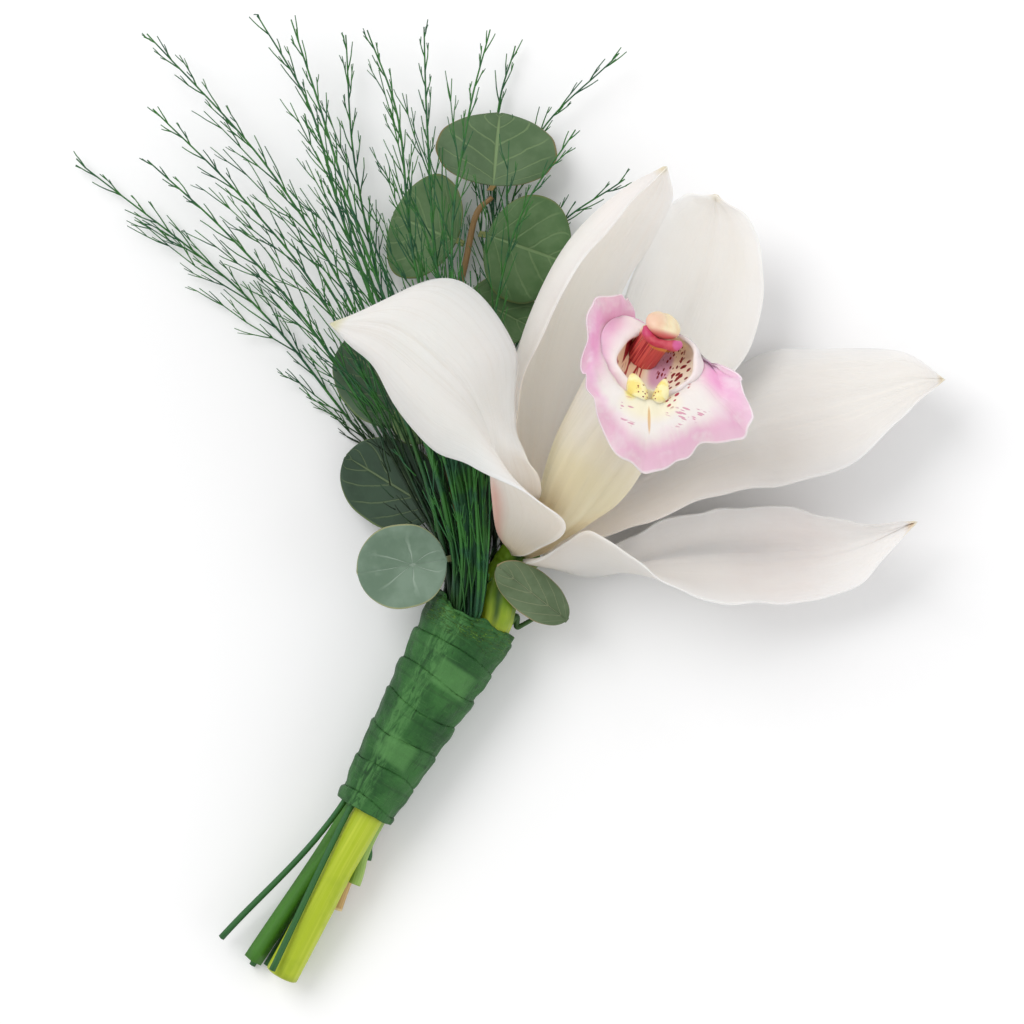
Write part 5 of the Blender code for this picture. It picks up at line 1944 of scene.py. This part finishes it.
    def run_under(self, path: np.ndarray, first: int, hand: int, chance: random.Random) -> None:
        """Adds a thick bare strand low in the bundle, beside the axis.

        Args:
            path: The points along the axis.
            first: The point where the axis leaves the sleeve.
            hand: 1 for its left and -1 for its right.
            chance: The frond's random numbers.
        """
        last = first + int((AXIS_LAST - first) * self.under_share * chance.uniform(0.6, 1.0))
        line = path[max(first - 4, 0) : last : 3].copy()
        share = np.linspace(0, 1, len(line))
        side = unit(np.cross(UP, path[last] - path[first])) * hand
        line += side * (chance.uniform(0.5, 1.8) * smooth_step(share, 0.0, 0.5))[:, None]
        line += UP * (chance.uniform(-3.2, -1.6) * smooth_step(share, 0.0, 0.3))[:, None]
        line[:, 2] = np.maximum(line[:, 2], LOWEST + self.under_radius)
        radii = self.under_radius * (1 - 0.75 * share**2)
        self.strands.append((line, radii, FernPart.TWIG))

    def build(self) -> Piece:
        """Returns the frond as one mesh of closed strands."""
        self.grow()
        curve = bpy.data.curves.new(self.name, "CURVE")
        curve.dimensions = "3D"
        curve.bevel_depth = MM
        curve.bevel_resolution = 0
        curve.use_fill_caps = True
        low, high = (np.array(corner) for corner in cad_box)
        for line, radii, part in self.strands:
            apart = np.hypot(*(line[:, :2] - np.array(FRONT_LEAF_PLACE)).T).min()
            if part is not FernPart.STEM and apart < FRONT_LEAF_CLEAR:
                continue
            points = np.clip(placed(line), low + radii.max() * MM, high - radii.max() * MM)
            spline = curve.splines.new("POLY")
            spline.points.add(len(points) - 1)
            spline.material_index = part.value
            for knot, point, radius in zip(spline.points, points, radii):
                knot.co = (*point, 1.0)
                knot.radius = radius
        obj = bpy.data.objects.new(self.name, curve)
        bpy.context.scene.collection.objects.link(obj)
        for _ in FernPart:
            curve.materials.append(None)
        piece = Piece(obj, "fern_green")
        piece.activate()
        bpy.ops.object.convert(target="MESH")
        piece.obj = bpy.context.object
        piece.weld()
        return piece


FERN_STEM = FernFinish("fern_stem", (52, 112, 44), (34, 84, 54))
FERN_TWIG = FernFinish("fern_twig", (58, 112, 66), (70, 108, 90))
FERN_TIP = FernFinish("fern_tip", (82, 118, 88), (104, 124, 112))
FERN_MAIN = FernFinish("fern_main_stem", (52, 112, 44), (34, 84, 54), low=(66, 120, 32))


# ---------------------------------------------------------------- the table, the light and the view


@dataclass
class Studio:
    """A plain pale floor, soft light, and a camera straight above."""

    aim: tuple[float, float] = (0.96, -1.92)
    height: float = 900.0
    lens: float = 197.75
    floor_size: float = 6.0
    floor_colour: Colour = (246, 246, 247)
    light_place: Point = (-520.0, 490.0, 880.0)
    light_size: float = 0.7
    light_power: float = 5.7
    fill_place: Point = (760.0, -260.0, 420.0)
    fill_size: float = 0.8
    fill_power: float = 1.8
    sky: float = 0.73

    def floor(self) -> None:
        """Lays the floor at height zero."""
        bpy.ops.object.select_all(action="DESELECT")
        bpy.ops.mesh.primitive_plane_add(size=self.floor_size)
        floor = bpy.context.object
        floor.name = "floor"
        bench = Bench("floor_pale", roughness=0.9, Specular_IOR_Level=0.1)
        cloud = bench.noise(bench.room(), 3.0, 2.0)
        colour = bench.mix(cloud, self.floor_colour, (248, 248, 248))
        floor.data.materials.append(bench.finish(colour))

    def lamp(self, name: str, place: Point, size: float, power: float) -> None:
        """Hangs one round soft light that shines on the middle.

        Args:
            name: Its name.
            place: Where it hangs, in millimetres.
            size: How wide it is, in metres.
            power: Its power in watts.
        """
        data = bpy.data.lights.new(name, "AREA")
        data.shape = "DISK"
        data.size = size
        data.energy = power
        obj = bpy.data.objects.new(name, data)
        obj.location = Vector(place) * MM
        obj.rotation_euler = (-obj.location).to_track_quat("-Z", "Y").to_euler()
        bpy.context.scene.collection.objects.link(obj)

    def light(self) -> None:
        """Hangs a soft light to the upper left and a weak one to the right, and brightens the room."""
        self.lamp("key", self.light_place, self.light_size, self.light_power)
        self.lamp("fill", self.fill_place, self.fill_size, self.fill_power)
        world = bpy.data.worlds.new("room")
        world.use_nodes = True
        background = world.node_tree.nodes["Background"]
        background.inputs["Color"].default_value = (1.0, 1.0, 1.0, 1.0)
        background.inputs["Strength"].default_value = self.sky
        bpy.context.scene.world = world
        bpy.context.scene.view_settings.view_transform = "Standard"

    def camera(self) -> None:
        """Looks straight down on the boutonniere."""
        data = bpy.data.cameras.new("camera")
        data.lens = self.lens
        data.sensor_width = 36.0
        obj = bpy.data.objects.new("camera", data)
        obj.location = Vector(placed(np.array([*self.aim, self.height])))
        bpy.context.scene.collection.objects.link(obj)
        bpy.context.scene.camera = obj


def build_flower() -> None:
    """Builds the flower's tepals, its lip and its column."""
    for tepal in tepals():
        tepal.dress(tepal.build())
    lip = Lip()
    lip.dress(lip.build())
    Throat().build()
    Column().build()


def build_bundle() -> None:
    """Builds the stems and the sleeve of tape."""
    for stem in stems():
        stem.dress(stem.build(), stem.name)
    sleeve = Sleeve()
    sleeve.dress(sleeve.build())


def build_greens() -> None:
    """Builds the eucalyptus leaves and the fern fronds."""
    for leaf in leaves():
        leaf.dress(leaf.build())
    materials = [finish.material() for finish in (FERN_STEM, FERN_TWIG, FERN_TIP)]
    main_stem = FERN_MAIN.material()
    for index, (name, (root, tip_line)) in enumerate(FRONDS.items()):
        piece = Frond(name, root, tip_line, seed=100 + index).build()
        stem = main_stem if root == "fern_main_stem" else materials[0]
        piece.dress(stem, *materials[1:])
        piece.finish(name)


def main() -> None:
    """Builds every sub-assembly in order, and the studio round them."""
    logging.basicConfig(level=logging.INFO, format="%(name)s: %(message)s")
    build_flower()
    build_bundle()
    build_greens()
    studio = Studio()
    studio.floor()
    studio.light()
    studio.camera()


if __name__ == "__main__":
    main()
